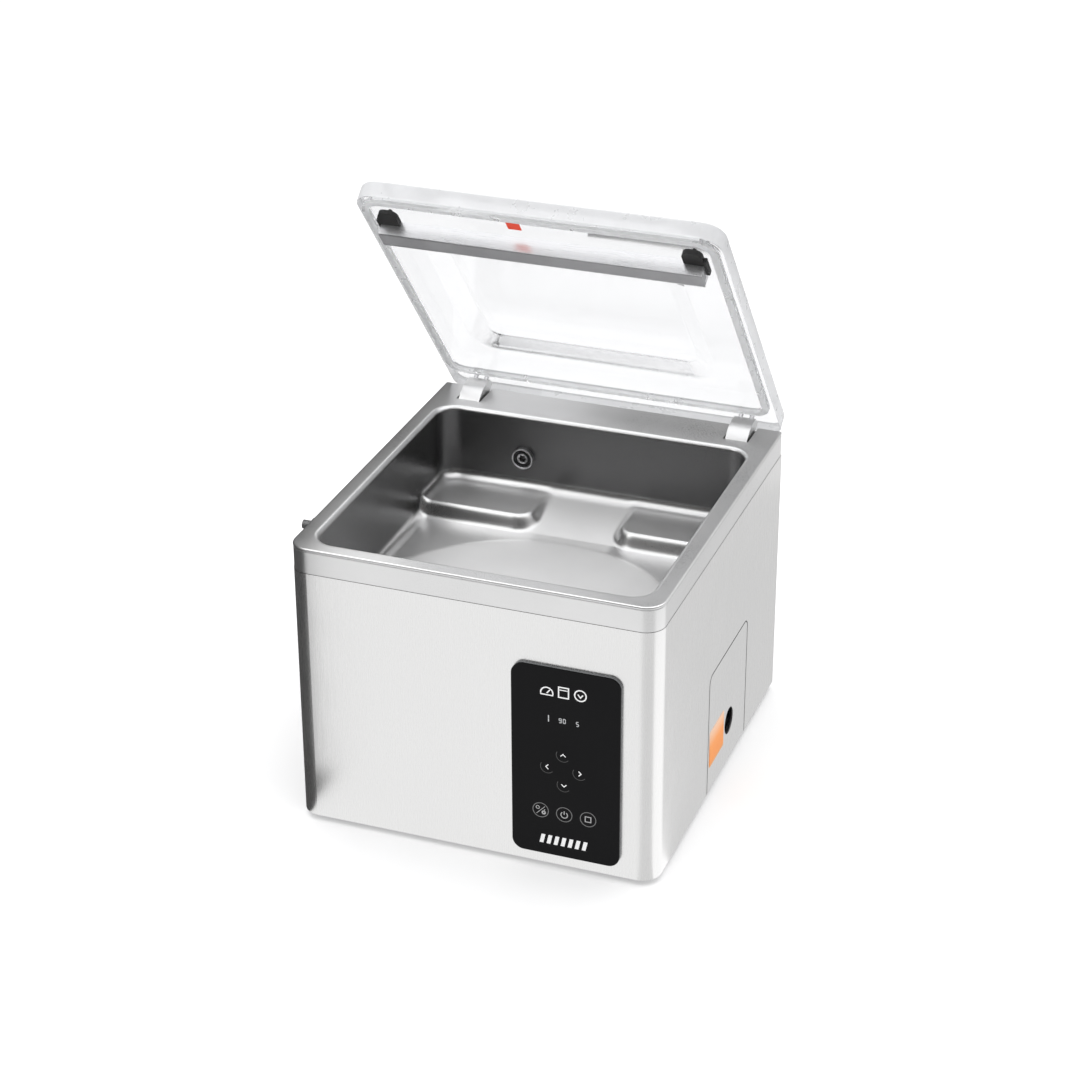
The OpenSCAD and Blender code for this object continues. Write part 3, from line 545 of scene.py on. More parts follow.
def oil():
    t = Tree("sight_oil")
    s = t.noise(t.coords(), 80.0, 2.0)
    t.set(spec=0.6, coat=0.6)
    t.colour(t.ramp(s, [(0.3, (0.030, 0.020, 0.006)), (0.7, (0.045, 0.030, 0.008))]))
    t.rough(t.rng(s, 0.06, 0.14))
    return t.m


M["oil_glass"] = oil()


def screen():
    t = Tree("display_dark")
    s = t.noise(t.coords(), 40.0, 2.0)
    t.set(spec=0.5)
    t.colour(t.ramp(s, [(0.3, (0.006, 0.007, 0.009)), (0.7, (0.011, 0.012, 0.015))]))
    t.rough(t.rng(s, 0.1, 0.2))
    return t.m


M["display"] = screen()

slot_of = {}
for s in frame["record"].get("subparts", []):
    slot_of[s["node"]] = s.get("material_slot")
for n, o in N.items():
    o.data.materials.clear()
    o.data.materials.append(M[slot_of[n]])


def edges(node, width, segs=2, angle=30):
    """Rounds the visible edges of a CAD node."""
    o = N[node]
    b = o.modifiers.new("bevel", "BEVEL")
    b.width = width * MM
    b.segments = segs
    b.limit_method = "ANGLE"
    b.angle_limit = math.radians(angle)
    b.harden_normals = False
    b.use_clamp_overlap = True
    w = o.modifiers.new("weighted", "WEIGHTED_NORMAL")
    w.keep_sharp = False
    w.weight = 80


DOME_A, DOME_B = (0.06, 0.02), (0.60, 1.0)

# ---------- floor and light ----------
def area(name, loc, target, size, power, size_y=None, color=(1, 1, 1)):
    d = bpy.data.lights.new(name, "AREA")
    d.energy = power
    d.shape = "RECTANGLE"
    d.size = size
    d.size_y = size_y or size
    d.color = color
    o = bpy.data.objects.new(name, d)
    bpy.context.scene.collection.objects.link(o)
    o.location = loc
    v = Vector(target) - Vector(loc)
    o.rotation_mode = "QUATERNION"
    o.rotation_quaternion = v.to_track_quat("-Z", "Y")
    return o


bm = bmesh.new()
bmesh.ops.create_grid(bm, x_segments=1, y_segments=1, size=14)
me = bpy.data.meshes.new("floor")
bm.to_mesh(me)
bm.free()
floor = bpy.data.objects.new("floor", me)
bpy.context.scene.collection.objects.link(floor)
t = Tree("floor_pale")
t.colour(t.ramp(t.noise(t.coords(), 3.0), [(0.3, g(0.86)), (0.7, g(0.89))]))
t.set(rough=0.9, spec=0.0)
t.b.inputs["Emission Color"].default_value = (1, 1, 1, 1)
t.set(emis=0.10)
floor.data.materials.append(t.m)
floor.visible_glossy = False


def reflect_only(o, transmission=False):
    """Flags, reflectors and the sky dome: seen only in reflections."""
    for k in ("visible_camera", "visible_diffuse", "visible_shadow", "visible_transmission", "visible_volume_scatter"):
        setattr(o, k, False)
    o.visible_transmission = transmission


def glow(name):
    t = Tree(name)
    t.set(rough=1.0, spec=0.0)
    t.colour(g(0.0))
    t.b.inputs["Emission Color"].default_value = (1, 1, 1, 1)
    t.m.cycles.emission_sampling = "NONE"
    return t


def card(name, corners, tone, transmission=False):
    me = bpy.data.meshes.new(name)
    me.from_pydata([Vector(c) for c in corners], [], [tuple(range(len(corners)))])
    o = bpy.data.objects.new(name, me)
    bpy.context.scene.collection.objects.link(o)
    t = glow(name)
    t.set(emis=tone)
    me.materials.append(t.m)
    reflect_only(o, transmission)
    return o


def sector(name, az0, az1, tone, z=0.0012, near=0.0, far=2.5, c=(0.17, -0.191)):
    """A sheet of card on the floor round the front right corner. Angles run from the front (-Y) to the right."""
    n = 12
    a = [math.radians(az0 + (az1 - az0) * i / n) for i in range(n + 1)]
    pts = [(c[0] + far * math.sin(v), c[1] - far * math.cos(v), z) for v in a]
    pts += [(c[0] + max(near, 0.001) * math.sin(v), c[1] - max(near, 0.001) * math.cos(v), z) for v in reversed(a)]
    return card(name, pts, tone)


# sky for everything but mirror reflections
w = bpy.data.worlds.new("studio")
bpy.context.scene.world = w
w.use_nodes = True
wt = w.node_tree
bg = wt.nodes["Background"]
tc = wt.nodes.new("ShaderNodeTexCoord")
sx = wt.nodes.new("ShaderNodeSeparateXYZ")
wt.links.new(tc.outputs["Generated"], sx.inputs[0])
r = wt.nodes.new("ShaderNodeValToRGB")
wt.links.new(sx.outputs["Z"], r.inputs["Fac"])
e = r.color_ramp.elements
e[0].position, e[0].color = 0.0, (0.80, 0.80, 0.81, 1)
e[1].position, e[1].color = 0.5, (0.95, 0.95, 0.955, 1)
wt.links.new(r.outputs["Color"], bg.inputs["Color"])
bg.inputs["Strength"].default_value = 1.0

# sky for reflections: dark low down at the front, bright overhead and behind
bm = bmesh.new()
bmesh.ops.create_uvsphere(bm, u_segments=48, v_segments=24, radius=6.0)
me = bpy.data.meshes.new("reflection_dome")
bm.to_mesh(me)
bm.free()
dome = bpy.data.objects.new("reflection_dome", me)
bpy.context.scene.collection.objects.link(dome)
t = glow("reflection_dome")
sx = t.node("SeparateXYZ")
t.link(t.tc.outputs["Object"], sx.inputs[0])
k = t.math("ADD", t.math("MULTIPLY", sx.outputs["Z"], 0.85 / 6.0), t.math("MULTIPLY", sx.outputs["Y"], 0.55 / 6.0))
n = t.node("ValToRGB")
n.color_ramp.interpolation = "EASE"
e = n.color_ramp.elements
e[0].position, e[0].color = DOME_A[0], (*g(DOME_A[1]), 1)
e[1].position, e[1].color = DOME_B[0], (*g(DOME_B[1]), 1)
t.link(k, n.inputs["Fac"])
t.link(n.outputs["Color"], t.b.inputs["Emission Color"])
t.set(emis=1.0)
me.materials.append(t.m)
reflect_only(dome)

area("top", (0.2, 0.2, 2.6), (0, 0, 0), 4.2, 52)
area("fill_front", (-1.6, -1.8, 2.2), (0, 0, 0.1), 1.4, 10)
bpy.context.scene.view_settings.view_transform = "Standard"

# flags and reflectors that shape the light on the walls and the two front corners
card("flag_left", [(-0.215, -0.292, 0.0), (-0.215, 0.40, 0.0), (-0.215, 0.40, 0.38), (-0.215, -0.292, 0.38)], 0.07)
card("floor_all", [(-12, -12, 0.0006), (12, -12, 0.0006), (12, 12, 0.0006), (-12, 12, 0.0006)], 0.86)
card("floor_front", [(-2.5, -2.5, 0.001), (0.17, -2.5, 0.001), (0.17, -0.205, 0.001), (-2.5, -0.205, 0.001)], 1.04)
card("floor_left", [(-0.7, -0.292, 0.0016), (-0.189, -0.292, 0.0016), (-0.189, 0.40, 0.0016), (-0.7, 0.40, 0.0016)], 0.07)
sector("floor_corner_grey", 14, 64, 0.80, far=0.75)
sector("floor_corner_white", 70, 146, 1.22, far=0.66)
sector("floor_right", 148, 182, 0.735, far=0.9)
card("flag_back", [(-0.17, 0.62, 0.34), (0.50, 0.62, 0.34), (0.50, 0.62, 1.0), (-0.17, 0.62, 1.0)], 0.40, transmission=True)


# ---------- chamber tub: one drawn sheet ----------
OP = dict(x0=-171.0, x1=171.0, y0=-188.0, y1=150.0, r=22.0)   # chamber opening
FLOOR, STEP = 212.0, 16.0
FR = 11.0                                                     # fillet between walls and floor
K = 6                                                         # half of a corner arc's segments


def spaced(lo, hi, base, marks, fine, reach):
    """Places between lo and hi, close together near the marks."""
    out, p = [lo], lo
    while p < hi:
        near = min([abs(p - m) for m in marks] or [1e9])
        step = fine if near < reach else base
        p = min(p + step, hi)
        out.append(p)
    if len(out) > 2 and out[-1] - out[-2] < fine * 0.5:
        out.pop(-2)
    return [(v - lo) / (hi - lo) for v in out[1:-1]]


XF = spaced(OP["x0"] + 22, OP["x1"] - 22, 2.7, [-46, 46], 1.4, 14)
YF = spaced(OP["y0"] + 22, OP["y1"] - 22, 2.7, [80], 1.4, 12)


def perim(x0, x1, y0, y1, radii, zf):
    """Points of a rounded outline whose straights are divided by XF and YF. zf gives the height at a point."""
    fl, fr, rr_, rl = radii
    out = []

    def arc(cx, cy, r, a0):
        for i in range(2 * K + 1):
            a = math.radians(a0 + 90 * i / (2 * K))
            out.append((cx + r * math.cos(a), cy + r * math.sin(a)))

    arc(x0 + fl, y0 + fl, fl, 180)
    out.extend((x0 + fl + f * (x1 - fr - x0 - fl), y0) for f in XF)
    arc(x1 - fr, y0 + fr, fr, 270)
    out.extend((x1, y0 + fr + f * (y1 - rr_ - y0 - fr)) for f in YF)
    arc(x1 - rr_, y1 - rr_, rr_, 0)
    out.extend((x0 + rl + f * (x1 - rr_ - x0 - rl), y1) for f in reversed(XF))
    arc(x0 + rl, y1 - rl, rl, 90)
    out.extend((x0, y0 + fl + f * (y1 - rl - y0 - fl)) for f in reversed(YF))
    return [(x, y, zf(x, y) if callable(zf) else zf) for x, y in out]


def sm(t):
    t = max(0.0, min(1.0, t))
    return t * t * t * (t * (6 * t - 15) + 10)


def floor_h(x, y):
    """Height of the chamber floor: two raised steps, a sloping channel and a low round boss."""
    ramp = FLOOR + STEP * max(0.0, min(1.0, (y - 79) / (OP["y1"] - 79)))
    a, b, rc = abs(x) - 46, y - 80, 20.0
    d = rc - math.hypot(rc - a, rc - b) if a < rc and b < rc else min(a, b)
    on = sm((d + 7) / 14)
    dish = 1.1 * sm((168 - math.hypot(x, y + 100)) / 5) * sm((76 - y) / 8) * sm((165 - abs(x)) / 5) * sm((y + 184) / 6)
    return ramp + (FLOOR + STEP - ramp) * on + dish


def outer(off, z):
    return perim(-HW + off, HW - off, FY + off, RY - off, [max(20 - off, 1)] * 2 + [max(2.5 - off, 0.4)] * 2, z)


def inner(dw, zf):
    r = max(OP["r"] - dw, 0.5)
    return perim(OP["x0"] + dw, OP["x1"] - dw, OP["y0"] + dw, OP["y1"] - dw, [r] * 4, zf)


loops = [outer(0.3, CASE_TOP + 0.4), outer(0.3, CASE_TOP + 1.2), outer(0.3, RIM - 4.4), outer(0.42, RIM - 3.9), outer(1.0, RIM - 3.6), outer(1.1, RIM - 3.1), outer(0.5, RIM - 2.75)]
for i in range(0, 8):
    th = math.radians(-20 + 110 * i / 7)
    loops.append(outer(1.7 - 1.7 * math.cos(th), RIM - 1.7 + 1.7 * math.sin(th)))
loops.append(outer(3.0, RIM))
RE = 5.0
loops.append(inner(-RE - 1.5, RIM))
for i in range(0, 9):
    th = math.radians(90 * i / 8)
    loops.append(inner(-RE + RE * math.sin(th), RIM - RE + RE * math.cos(th)))
wall_top = RIM - RE
for f in (0.04, 0.33, 0.66, 0.96):
    loops.append(inner(0.0, lambda x, y, f=f: wall_top + f * (floor_h(x, y) + FR - wall_top)))
for i in range(0, 9):
    th = math.radians(90 * i / 8)
    dw = FR * (1 - math.cos(th))
    loops.append(inner(dw, lambda x, y, th=th: floor_h(x, y) + FR * (1 - math.sin(th))))

bm = bmesh.new()
rings = loops_mesh(bm, [scaled(L) for L in loops])
last = rings[-1]
nX, nY = len(XF), len(YF)
A = 2 * K + 1                                                 # points in a corner arc
i_fl, i_fr = 0, A + nX
i_rr, i_rl = i_fr + A + nY, i_fr + A + nY + A + nX
total = len(last)
front = [last[i] for i in range(i_fl + K, i_fr + K + 1)]
right = [last[i] for i in range(i_fr + K, i_rr + K + 1)]
rear = [last[i] for i in range(i_rr + K, i_rl + K + 1)][::-1]
left = [last[i % total] for i in range(i_rl + K, total + K + 1)][::-1]
m_, n_ = len(front) - 1, len(right) - 1
fx = [v.co.x for v in front]
U = [(x - fx[0]) / (fx[-1] - fx[0]) for x in fx]
fyy = [v.co.y for v in right]
V = [(y - fyy[0]) / (fyy[-1] - fyy[0]) for y in fyy]
grid = [[None] * (n_ + 1) for _ in range(m_ + 1)]
for i in range(m_ + 1):
    grid[i][0], grid[i][n_] = front[i], rear[i]
for j in range(n_ + 1):
    grid[0][j], grid[m_][j] = left[j], right[j]
C00, C10, C01, C11 = front[0].co, front[-1].co, rear[0].co, rear[-1].co
for i in range(1, m_):
    for j in range(1, n_):
        u, v = U[i], V[j]
        p = (front[i].co * (1 - v) + rear[i].co * v + left[j].co * (1 - u) + right[j].co * u
             - C00 * (1 - u) * (1 - v) - C10 * u * (1 - v) - C01 * (1 - u) * v - C11 * u * v)
        p.z = floor_h(p.x * 1000, p.y * 1000) * MM
        grid[i][j] = bm.verts.new(p)
for i in range(m_):
    for j in range(n_):
        bm.faces.new((grid[i][j], grid[i + 1][j], grid[i + 1][j + 1], grid[i][j + 1]))
bmesh.ops.recalc_face_normals(bm, faces=bm.faces)
up = max(bm.faces, key=lambda f: f.calc_area() if abs(f.normal.z) > 0.9 else 0)
if up.normal.z < 0:
    bmesh.ops.reverse_faces(bm, faces=bm.faces)
# slots for the hinge arms, open to the rear
SLOT_Z = RIM - 3.6
near = [f for f in bm.faces if f.calc_center_median().z * 1000 > SLOT_Z - 3 and f.calc_center_median().y * 1000 > 140]
for co, no in [((s * 149.75 + d, 0, 0), (1, 0, 0)) for s in (-1, 1) for d in (-13.75, 13.75)] + [((0, RY - 38, 0), (0, 1, 0)), ((0, 0, SLOT_Z), (0, 0, 1))]:
    near = [f for f in near if f.is_valid]
    geom = near + list({e for f in near for e in f.edges}) + list({v for f in near for v in f.verts})
    got = bmesh.ops.bisect_plane(bm, geom=geom, dist=1e-7, plane_co=Vector(co) * MM, plane_no=no)
    near = [x for x in got["geom"] if isinstance(x, bmesh.types.BMFace)]


def in_slot(f):
    c_ = f.calc_center_median() * 1000
    return abs(abs(c_.x) - 149.75) < 13.75 and c_.y > RY - 38 and c_.z > SLOT_Z


def in_gland(f):
    c_ = f.calc_center_median() * 1000
    return c_.z < 215 and math.hypot(abs(c_.x) - 110, c_.y + 148) < 8.0


bmesh.ops.delete(bm, geom=[f for f in bm.faces if in_slot(f) or in_gland(f)], context="FACES")
tub = new_obj("tub_sheet", bm, M["tub_steel"], smooth=0)
so = tub.modifiers.new("thickness", "SOLIDIFY")
so.thickness = 1.5 * MM
so.offset = -1
so.use_even_offset = False
apply_all(tub)
smooth_by_angle(tub, 40)


def step01(a, b, v):
    v = max(0.0, min(1.0, (v - a) / (b - a)))
    return v * v * (3 - 2 * v)


# Per-vertex weights: the first darkens the base colour on the chamber's near-vertical faces as painted shade; bed makes
# the floor less metallic and rougher.
painted_wall_shade_w, bed_w = [], []
for v in tub.data.vertices:
    c_, nz = v.co * 1000, v.normal.z
    inside = c_.x > OP["x0"] - 2 and c_.x < OP["x1"] + 2 and c_.y > OP["y0"] - 2 and c_.y < OP["y1"] + 2 and c_.z < RIM - 3
    painted_wall_shade_w.append((1 - step01(0.0, 0.5, nz)) * inside)
    boss = step01(0, 10, 172 - math.hypot(c_.x, c_.y + 100))
    channel = step01(0, 12, 52 - abs(c_.x)) * step01(50, 75, c_.y)
    bed_w.append(step01(0.6, 0.97, nz) * inside * (0.3 + 0.7 * max(boss, channel)))
for key, vals in (("wall", painted_wall_shade_w), ("bed", bed_w)):
    tub.data.attributes.new(key, "FLOAT", "POINT").data.foreach_set("value", vals)
tub.data.materials.clear()
tub.data.materials.append(M["tub_drawn"])
weighted(tub)
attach(tub, "base")
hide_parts("chamber_tub")


# ---------- suction port: turned nut with a star socket ----------
SX, SY, SZ = -79.0, 150.0, 263.0
lathe = [(2.6, 17.0), (6.9, 17.0), (6.9, 0.1), (11.2, 0.1), (11.9, -0.7), (12.0, -5.0), (11.7, -5.7), (11.1, -6.0), (10.4, -5.9), (10.0, -5.4), (9.8, -2.0),
         (9.4, -1.6), (6.6, -1.6), (6.2, -2.0), (6.1, -4.3), (5.7, -4.9), (5.1, -4.9), (4.6, -4.5)]
bm = bmesh.new()
SEGS = 72
loops = [[Vector((SX + r_ * math.cos(2 * math.pi * i / SEGS), SY + y_, SZ + r_ * math.sin(2 * math.pi * i / SEGS))) * MM for i in range(SEGS)] for r_, y_ in lathe]
for base_r, y_ in ((3.9, -4.2), (3.8, -0.2)):
    loops.append([Vector((SX + (base_r + 0.55 * math.cos(12 * math.pi * i / SEGS)) * math.cos(2 * math.pi * i / SEGS), SY + y_,
                          SZ + (base_r + 0.55 * math.cos(12 * math.pi * i / SEGS)) * math.sin(2 * math.pi * i / SEGS))) * MM for i in range(SEGS)])
loops.append([Vector((SX + 2.6 * math.cos(2 * math.pi * i / SEGS), SY - 0.1, SZ + 2.6 * math.sin(2 * math.pi * i / SEGS))) * MM for i in range(SEGS)])
loops.append(loops[0])
rings = loops_mesh(bm, loops)
bmesh.ops.remove_doubles(bm, verts=bm.verts, dist=1e-6)
bmesh.ops.recalc_face_normals(bm, faces=bm.faces)
nut = new_obj("suction_nut", bm, None, smooth=32)
nut.data.materials.append(M["zinc_steel"])
nut.data.materials.append(M["recess_dark"])
# Faces in the star socket and the ring groove take the near-black recess_dark material: painted shade in those
# recesses.
for p_ in nut.data.polygons:
    c_ = p_.center * 1000
    rad = math.hypot(c_.x - SX, c_.z - SZ)
    if c_.y > SY - 5.2 and c_.y < SY + 0.05 and (rad < 3.9 or 6.3 < rad < 9.85):
        p_.material_index = 1
weighted(nut)
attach(nut, "base")
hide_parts("suction_fitting")


# ---------- lid: thick clear plate ----------
LB_lo, LB_hi = 314.0, 333.0
LX, LY0, LY1 = 186.0, -201.0, 204.0


def lr(x0, x1, y0, y1, rf, rr_, z, arc=10):
    return [opened(p) * MM for p in rrect(x0, x1, y0, y1, [rf, rf, rr_, rr_], z, arc=arc)]


def lid_outer(off, z):
    return lr(-LX + off, LX - off, LY0 + off, LY1 - off, 22 - off, 15 - off, z)


def quarter(f, r, z_mid, up, steps=5):
    """Loops round an outer edge of radius r. up is +1 at the top edge, and -1 at the bottom."""
    out = []
    for i in range(steps + 1):
        th = math.radians(90 * i / steps)
        out.append(f(r * (1 - math.cos(th)) if up > 0 else r * (1 - math.sin(th)),
                     z_mid + up * r * (math.sin(th) if up > 0 else math.cos(th))))
    return out


LT = LB_hi
loops = []
# pocket, from its flat bottom outward
PD = 9.5


def pocket(f, z):
    """f runs from 0 at the pocket's flat bottom to 1 at the plate's underside."""
    return lr(-114 - 20 * f, 114 + 20 * f, -106 - 20 * f, 77 + 20 * f, 14 + 12 * f, 14 + 12 * f, z)


prof = [(-0.10, 0.0), (-0.02, 0.03), (0.05, 0.09), (0.12, 0.18), (0.85, 0.82), (0.93, 0.91), (1.02, 0.97), (1.12, 1.0)]
for f, h in prof:
    loops.append(pocket(f, LB_lo + PD * (1 - h)))
# out to the groove, over it, and out to the edge
for x, y0, y1, rf, rr_, z in [
    (173.3 - 0.5, -189.8 + 0.5, 153.8 - 0.5, 14.3, 12.3, LB_lo),
    (173.3, -189.8, 153.8, 14.8, 12.8, LB_lo + 0.5),
    (173.3, -189.8, 153.8, 14.8, 12.8, LB_lo + 4.1),
    (180.7, -197.2, 161.2, 22.2, 20.2, LB_lo + 4.1),
    (180.7, -197.2, 161.2, 22.2, 20.2, LB_lo + 0.5),
    (181.1, -197.6, 161.6, 22.6, 20.6, LB_lo),
]:
    loops.append(lr(-x, x, y0, y1, rf, rr_, z))
loops += quarter(lid_outer, 1.6, LB_lo + 1.6, -1)[::-1][0:0]
for i in range(6):
    th = math.radians(90 * i / 5)
    loops.append(lid_outer(1.6 * (1 - math.sin(th)), LB_lo + 1.6 * (1 - math.cos(th))))
for i in range(7):
    th = math.radians(90 * i / 6)
    loops.append(lid_outer(3.0 * (1 - math.cos(th)), LT - 3.0 * (1 - math.sin(th))))
loops.append(lid_outer(5.5, LT))
bm = bmesh.new()
loops_mesh(bm, loops, close_first=True, close_last=True)
bmesh.ops.recalc_face_normals(bm, faces=bm.faces)
lid = new_obj("lid_plate", bm, M["clear_acrylic"], smooth=0)
c = bmesh.new()
for s in (-1, 1):
    for d in (-6, 6):
        add_cyl(c, (Vector((s * 149.75 + d, HP.y - 21, LT - 5))) * MM, "z", 5.2 * MM, 6 * MM, 32)
for v in c.verts:
    v.co = opened(v.co * 1000) * MM
boolean(lid, cutter(c))
smooth_by_angle(lid, 32)
weighted(lid)
lid.data.materials.append(M["acrylic_edge"])
for p_ in lid.data.polygons:
    c_ = p_.center * 1000
    dy, dz = c_.y - HP.y, c_.z - HP.z                          # back to the closed lid
    yc = HP.y + dy * math.cos(LID_OPEN) - dz * math.sin(LID_OPEN)
    zc = HP.z + dy * math.sin(LID_OPEN) + dz * math.cos(LID_OPEN)
    if zc > LB_lo + 0.6 and zc < LT - 0.05 and (abs(c_.x) > LX - 4.5 or yc < LY0 + 4.5 or yc > LY1 - 4.5 or
                                               (abs(c_.x) > LX - 22 and (yc < LY0 + 22 or yc > LY1 - 15) and math.hypot(abs(c_.x) - (LX - 22), yc - (LY0 + 22 if yc < 0 else LY1 - 22)) > 17)):
        p_.material_index = 1
lid.visible_shadow = False
lid.visible_diffuse = False
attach(lid, "lid")
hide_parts("lid_shell")


# ---------- marks on the touch panel ----------
GY = mmbox("control_glass")[0].y                              # front of the glass
PXc = (mmbox("control_glass")[0].x + mmbox("control_glass")[1].x) / 2


class Marks:
    """Flat printed strokes, a tenth of a millimetre proud of the glass. Points are (x, z) in mm."""

    def __init__(self, name, mat, t=0.06):
        self.name, self.mat, self.t, self.bm = name, mat, t, bmesh.new()

    def poly(self, pts):
        f = [self.bm.verts.new(Vector((x, GY - self.t, z)) * MM) for x, z in pts]
        k = [self.bm.verts.new(Vector((x, GY + 0.05, z)) * MM) for x, z in pts]
        n = len(pts)
        self.bm.faces.new(f)
        self.bm.faces.new(k[::-1])
        for i in range(n):
            j = (i + 1) % n
            self.bm.faces.new((f[i], k[i], k[j], f[j]))

    def line(self, a, b, w):
        d = Vector(b) - Vector(a)
        n = Vector((-d.y, d.x)).normalized() * w / 2
        a, b = Vector(a), Vector(b)
        self.poly([a - n, b - n, b + n, a + n])

    def path(self, pts, w, closed=False):
        """A stroke with mitred corners."""
        P = [Vector(p) for p in pts]
        n = len(P)
        L, R = [], []
        for i in range(n):
            p0 = P[i - 1] if i or closed else None
            p1 = P[(i + 1) % n] if i < n - 1 or closed else None
            d0 = (P[i] - p0).normalized() if p0 is not None else None
            d1 = (p1 - P[i]).normalized() if p1 is not None else None
            d0 = d0 or d1
            d1 = d1 or d0
            m = (d0 + d1).normalized()
            nn = Vector((-m.y, m.x))
            k = (w / 2) / max(0.35, nn.dot(Vector((-d1.y, d1.x))))
            L.append(P[i] + nn * k)
            R.append(P[i] - nn * k)
        rng = range(n if closed else n - 1)
        for i in rng:
            j = (i + 1) % n
            self.poly([R[i], R[j], L[j], L[i]])

    def arc(self, c, r, a0, a1, w, seg=40):
        n = max(3, int(seg * abs(a1 - a0) / 360))
        pts = [(c[0] + r * math.cos(math.radians(a0 + (a1 - a0) * i / n)), c[1] + r * math.sin(math.radians(a0 + (a1 - a0) * i / n))) for i in range(n + 1)]
        full = abs(a1 - a0) >= 359.9
        self.path(pts[:-1] if full else pts, w, closed=full)

    def done(self):
        bmesh.ops.recalc_face_normals(self.bm, faces=self.bm.faces)
        o = new_obj(self.name, self.bm, self.mat, smooth=0)
        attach(o, "base")
        return o


def ink(name, tone, glow=0.0):
    t = Tree(name)
    n = t.noise(t.coords(), 800.0, 2.0)
    t.set(spec=0.3)
    t.colour(t.ramp(n, [(0.3, g(tone * 0.9)), (0.7, g(tone))]))
    t.rough(t.rng(n, 0.4, 0.55))
    if glow:
        t.b.inputs["Emission Color"].default_value = (0.9, 0.95, 1.0, 1)
        t.set(emis=glow)
    return t.m


I_white, I_grey, I_dim, I_lit = ink("ink_white", 0.85), ink("ink_grey", 0.16), ink("ink_dim", 0.055), ink("ink_lit", 0.35, 0.2)

# top row: three plain pictograms (gauge, bag, pump)
tm = Marks("panel_pictograms", I_white)
gx, gz = 79.5, 203.0
tm.arc((gx, gz), 6.2, -10, 190, 1.3)
tm.line((gx, gz), (gx + 3.2, gz + 4.0), 1.2)
tm.line((gx - 6.6, gz - 1.9), (gx + 6.6, gz - 1.9), 1.2)
bx, bz = 96.5, 206.3
tm.path([(bx - 5.0, bz - 5.6), (bx + 5.0, bz - 5.6), (bx + 5.0, bz + 5.6), (bx - 5.0, bz + 5.6)], 1.3, closed=True)
tm.line((bx - 4.8, bz + 2.6), (bx + 4.8, bz + 2.6), 1.0)
vx, vz = 113.5, 206.3
tm.arc((vx, vz), 5.8, 0, 360, 1.3)
tm.path([(vx - 2.6, vz + 1.2), (vx, vz - 2.2), (vx + 2.6, vz + 1.2)], 1.2)
tm.done()

# bottom row: a plain bar of slanted blocks
bmk = Marks("panel_level_bar", I_white)
for i in range(7):
    x = 71.5 + i * 7.3
    h = 10.0
    bmk.poly([(x, 32.0), (x + 4.0, 32.0), (x + 6.2, 32.0 + h), (x + 2.2, 32.0 + h)])
bmk.done()

# arrows with partial rings
ar = Marks("panel_arrows", I_white)
rg = Marks("panel_arrow_rings", I_dim)
for (x, z), rot_ in (((96, 136.1), 90), ((79.8, 120.4), 180), ((113, 119.1), 0), ((96.9, 102.4), 270)):
    a = math.radians(rot_)
    d = Vector((math.cos(a), math.sin(a)))
    n = Vector((-d.y, d.x))
    c0 = Vector((x, z))
    ar.path([c0 + n * 2.6 - d * 1.1, c0 + d * 1.5, c0 - n * 2.6 - d * 1.1], 0.95)
    rg.arc((x, z), 7.0, 150, 320, 0.7)
ar.done()
rg.done()

# function keys: tool, power, stop
fr_ = Marks("panel_key_rings", I_grey)
ks = Marks("panel_key_symbols", ink("ink_pale", 0.42))
for x, z in ((72.8, 69.4), (97.2, 69.0), (121.8, 68.8)):
    fr_.arc((x, z), 8.0, 0, 360, 0.8, seg=56)
fr_.done()
x, z = 72.8, 69.4
ks.line((x - 4.4, z - 4.6), (x + 4.4, z + 4.6), 0.55)
ks.arc((x - 3.0, z + 2.6), 1.7, 0, 360, 0.7)
ks.arc((x + 3.2, z - 2.4), 1.5, 0, 360, 1.4)
ks.line((x + 3.2, z - 1.0), (x + 4.4, z + 1.6), 0.9)
x, z = 97.2, 69.0
ks.arc((x, z - 0.4), 3.4, 125, 415, 0.9)
ks.line((x, z + 0.2), (x, z + 4.0), 0.95)
x, z = 121.8, 68.8
ks.path([(x - 2.9, z - 2.9), (x + 2.9, z - 2.9), (x + 2.9, z + 2.9), (x - 2.9, z + 2.9)], 0.9, closed=True)
ks.done()

# small lit figures on the display
SEG = {"1": "bc", "9": "abcdfg", "0": "abcdef", "5": "acdfg"}


def digit(mk, ch, x, z, w, h, t):
    p = {"a": ((x, z + h), (x + w, z + h)), "b": ((x + w, z + h / 2), (x + w, z + h)), "c": ((x + w, z), (x + w, z + h / 2)),
         "d": ((x, z), (x + w, z)), "e": ((x, z), (x, z + h / 2)), "f": ((x, z + h / 2), (x, z + h)), "g": ((x, z + h / 2), (x + w, z + h / 2))}
    for s in SEG[ch]:
        a, b = Vector(p[s][0]), Vector(p[s][1])
        d = (b - a).normalized() * 0.12
        mk.line(a + d, b - d, t)


dg_ = Marks("panel_figures", I_lit)
digit(dg_, "1", 79.0, 171.5, 2.2, 7.4, 1.0)
digit(dg_, "9", 92.0, 172.6, 2.2, 4.6, 0.75)
digit(dg_, "0", 96.2, 172.6, 2.2, 4.6, 0.75)
digit(dg_, "5", 109.5, 172.0, 2.2, 4.6, 0.75)
dg_.done()

# ---------- black strip in the joint round the service cover: painted shade for the shadow in the gap ---
c_lo, c_hi = mmbox("service_cover")


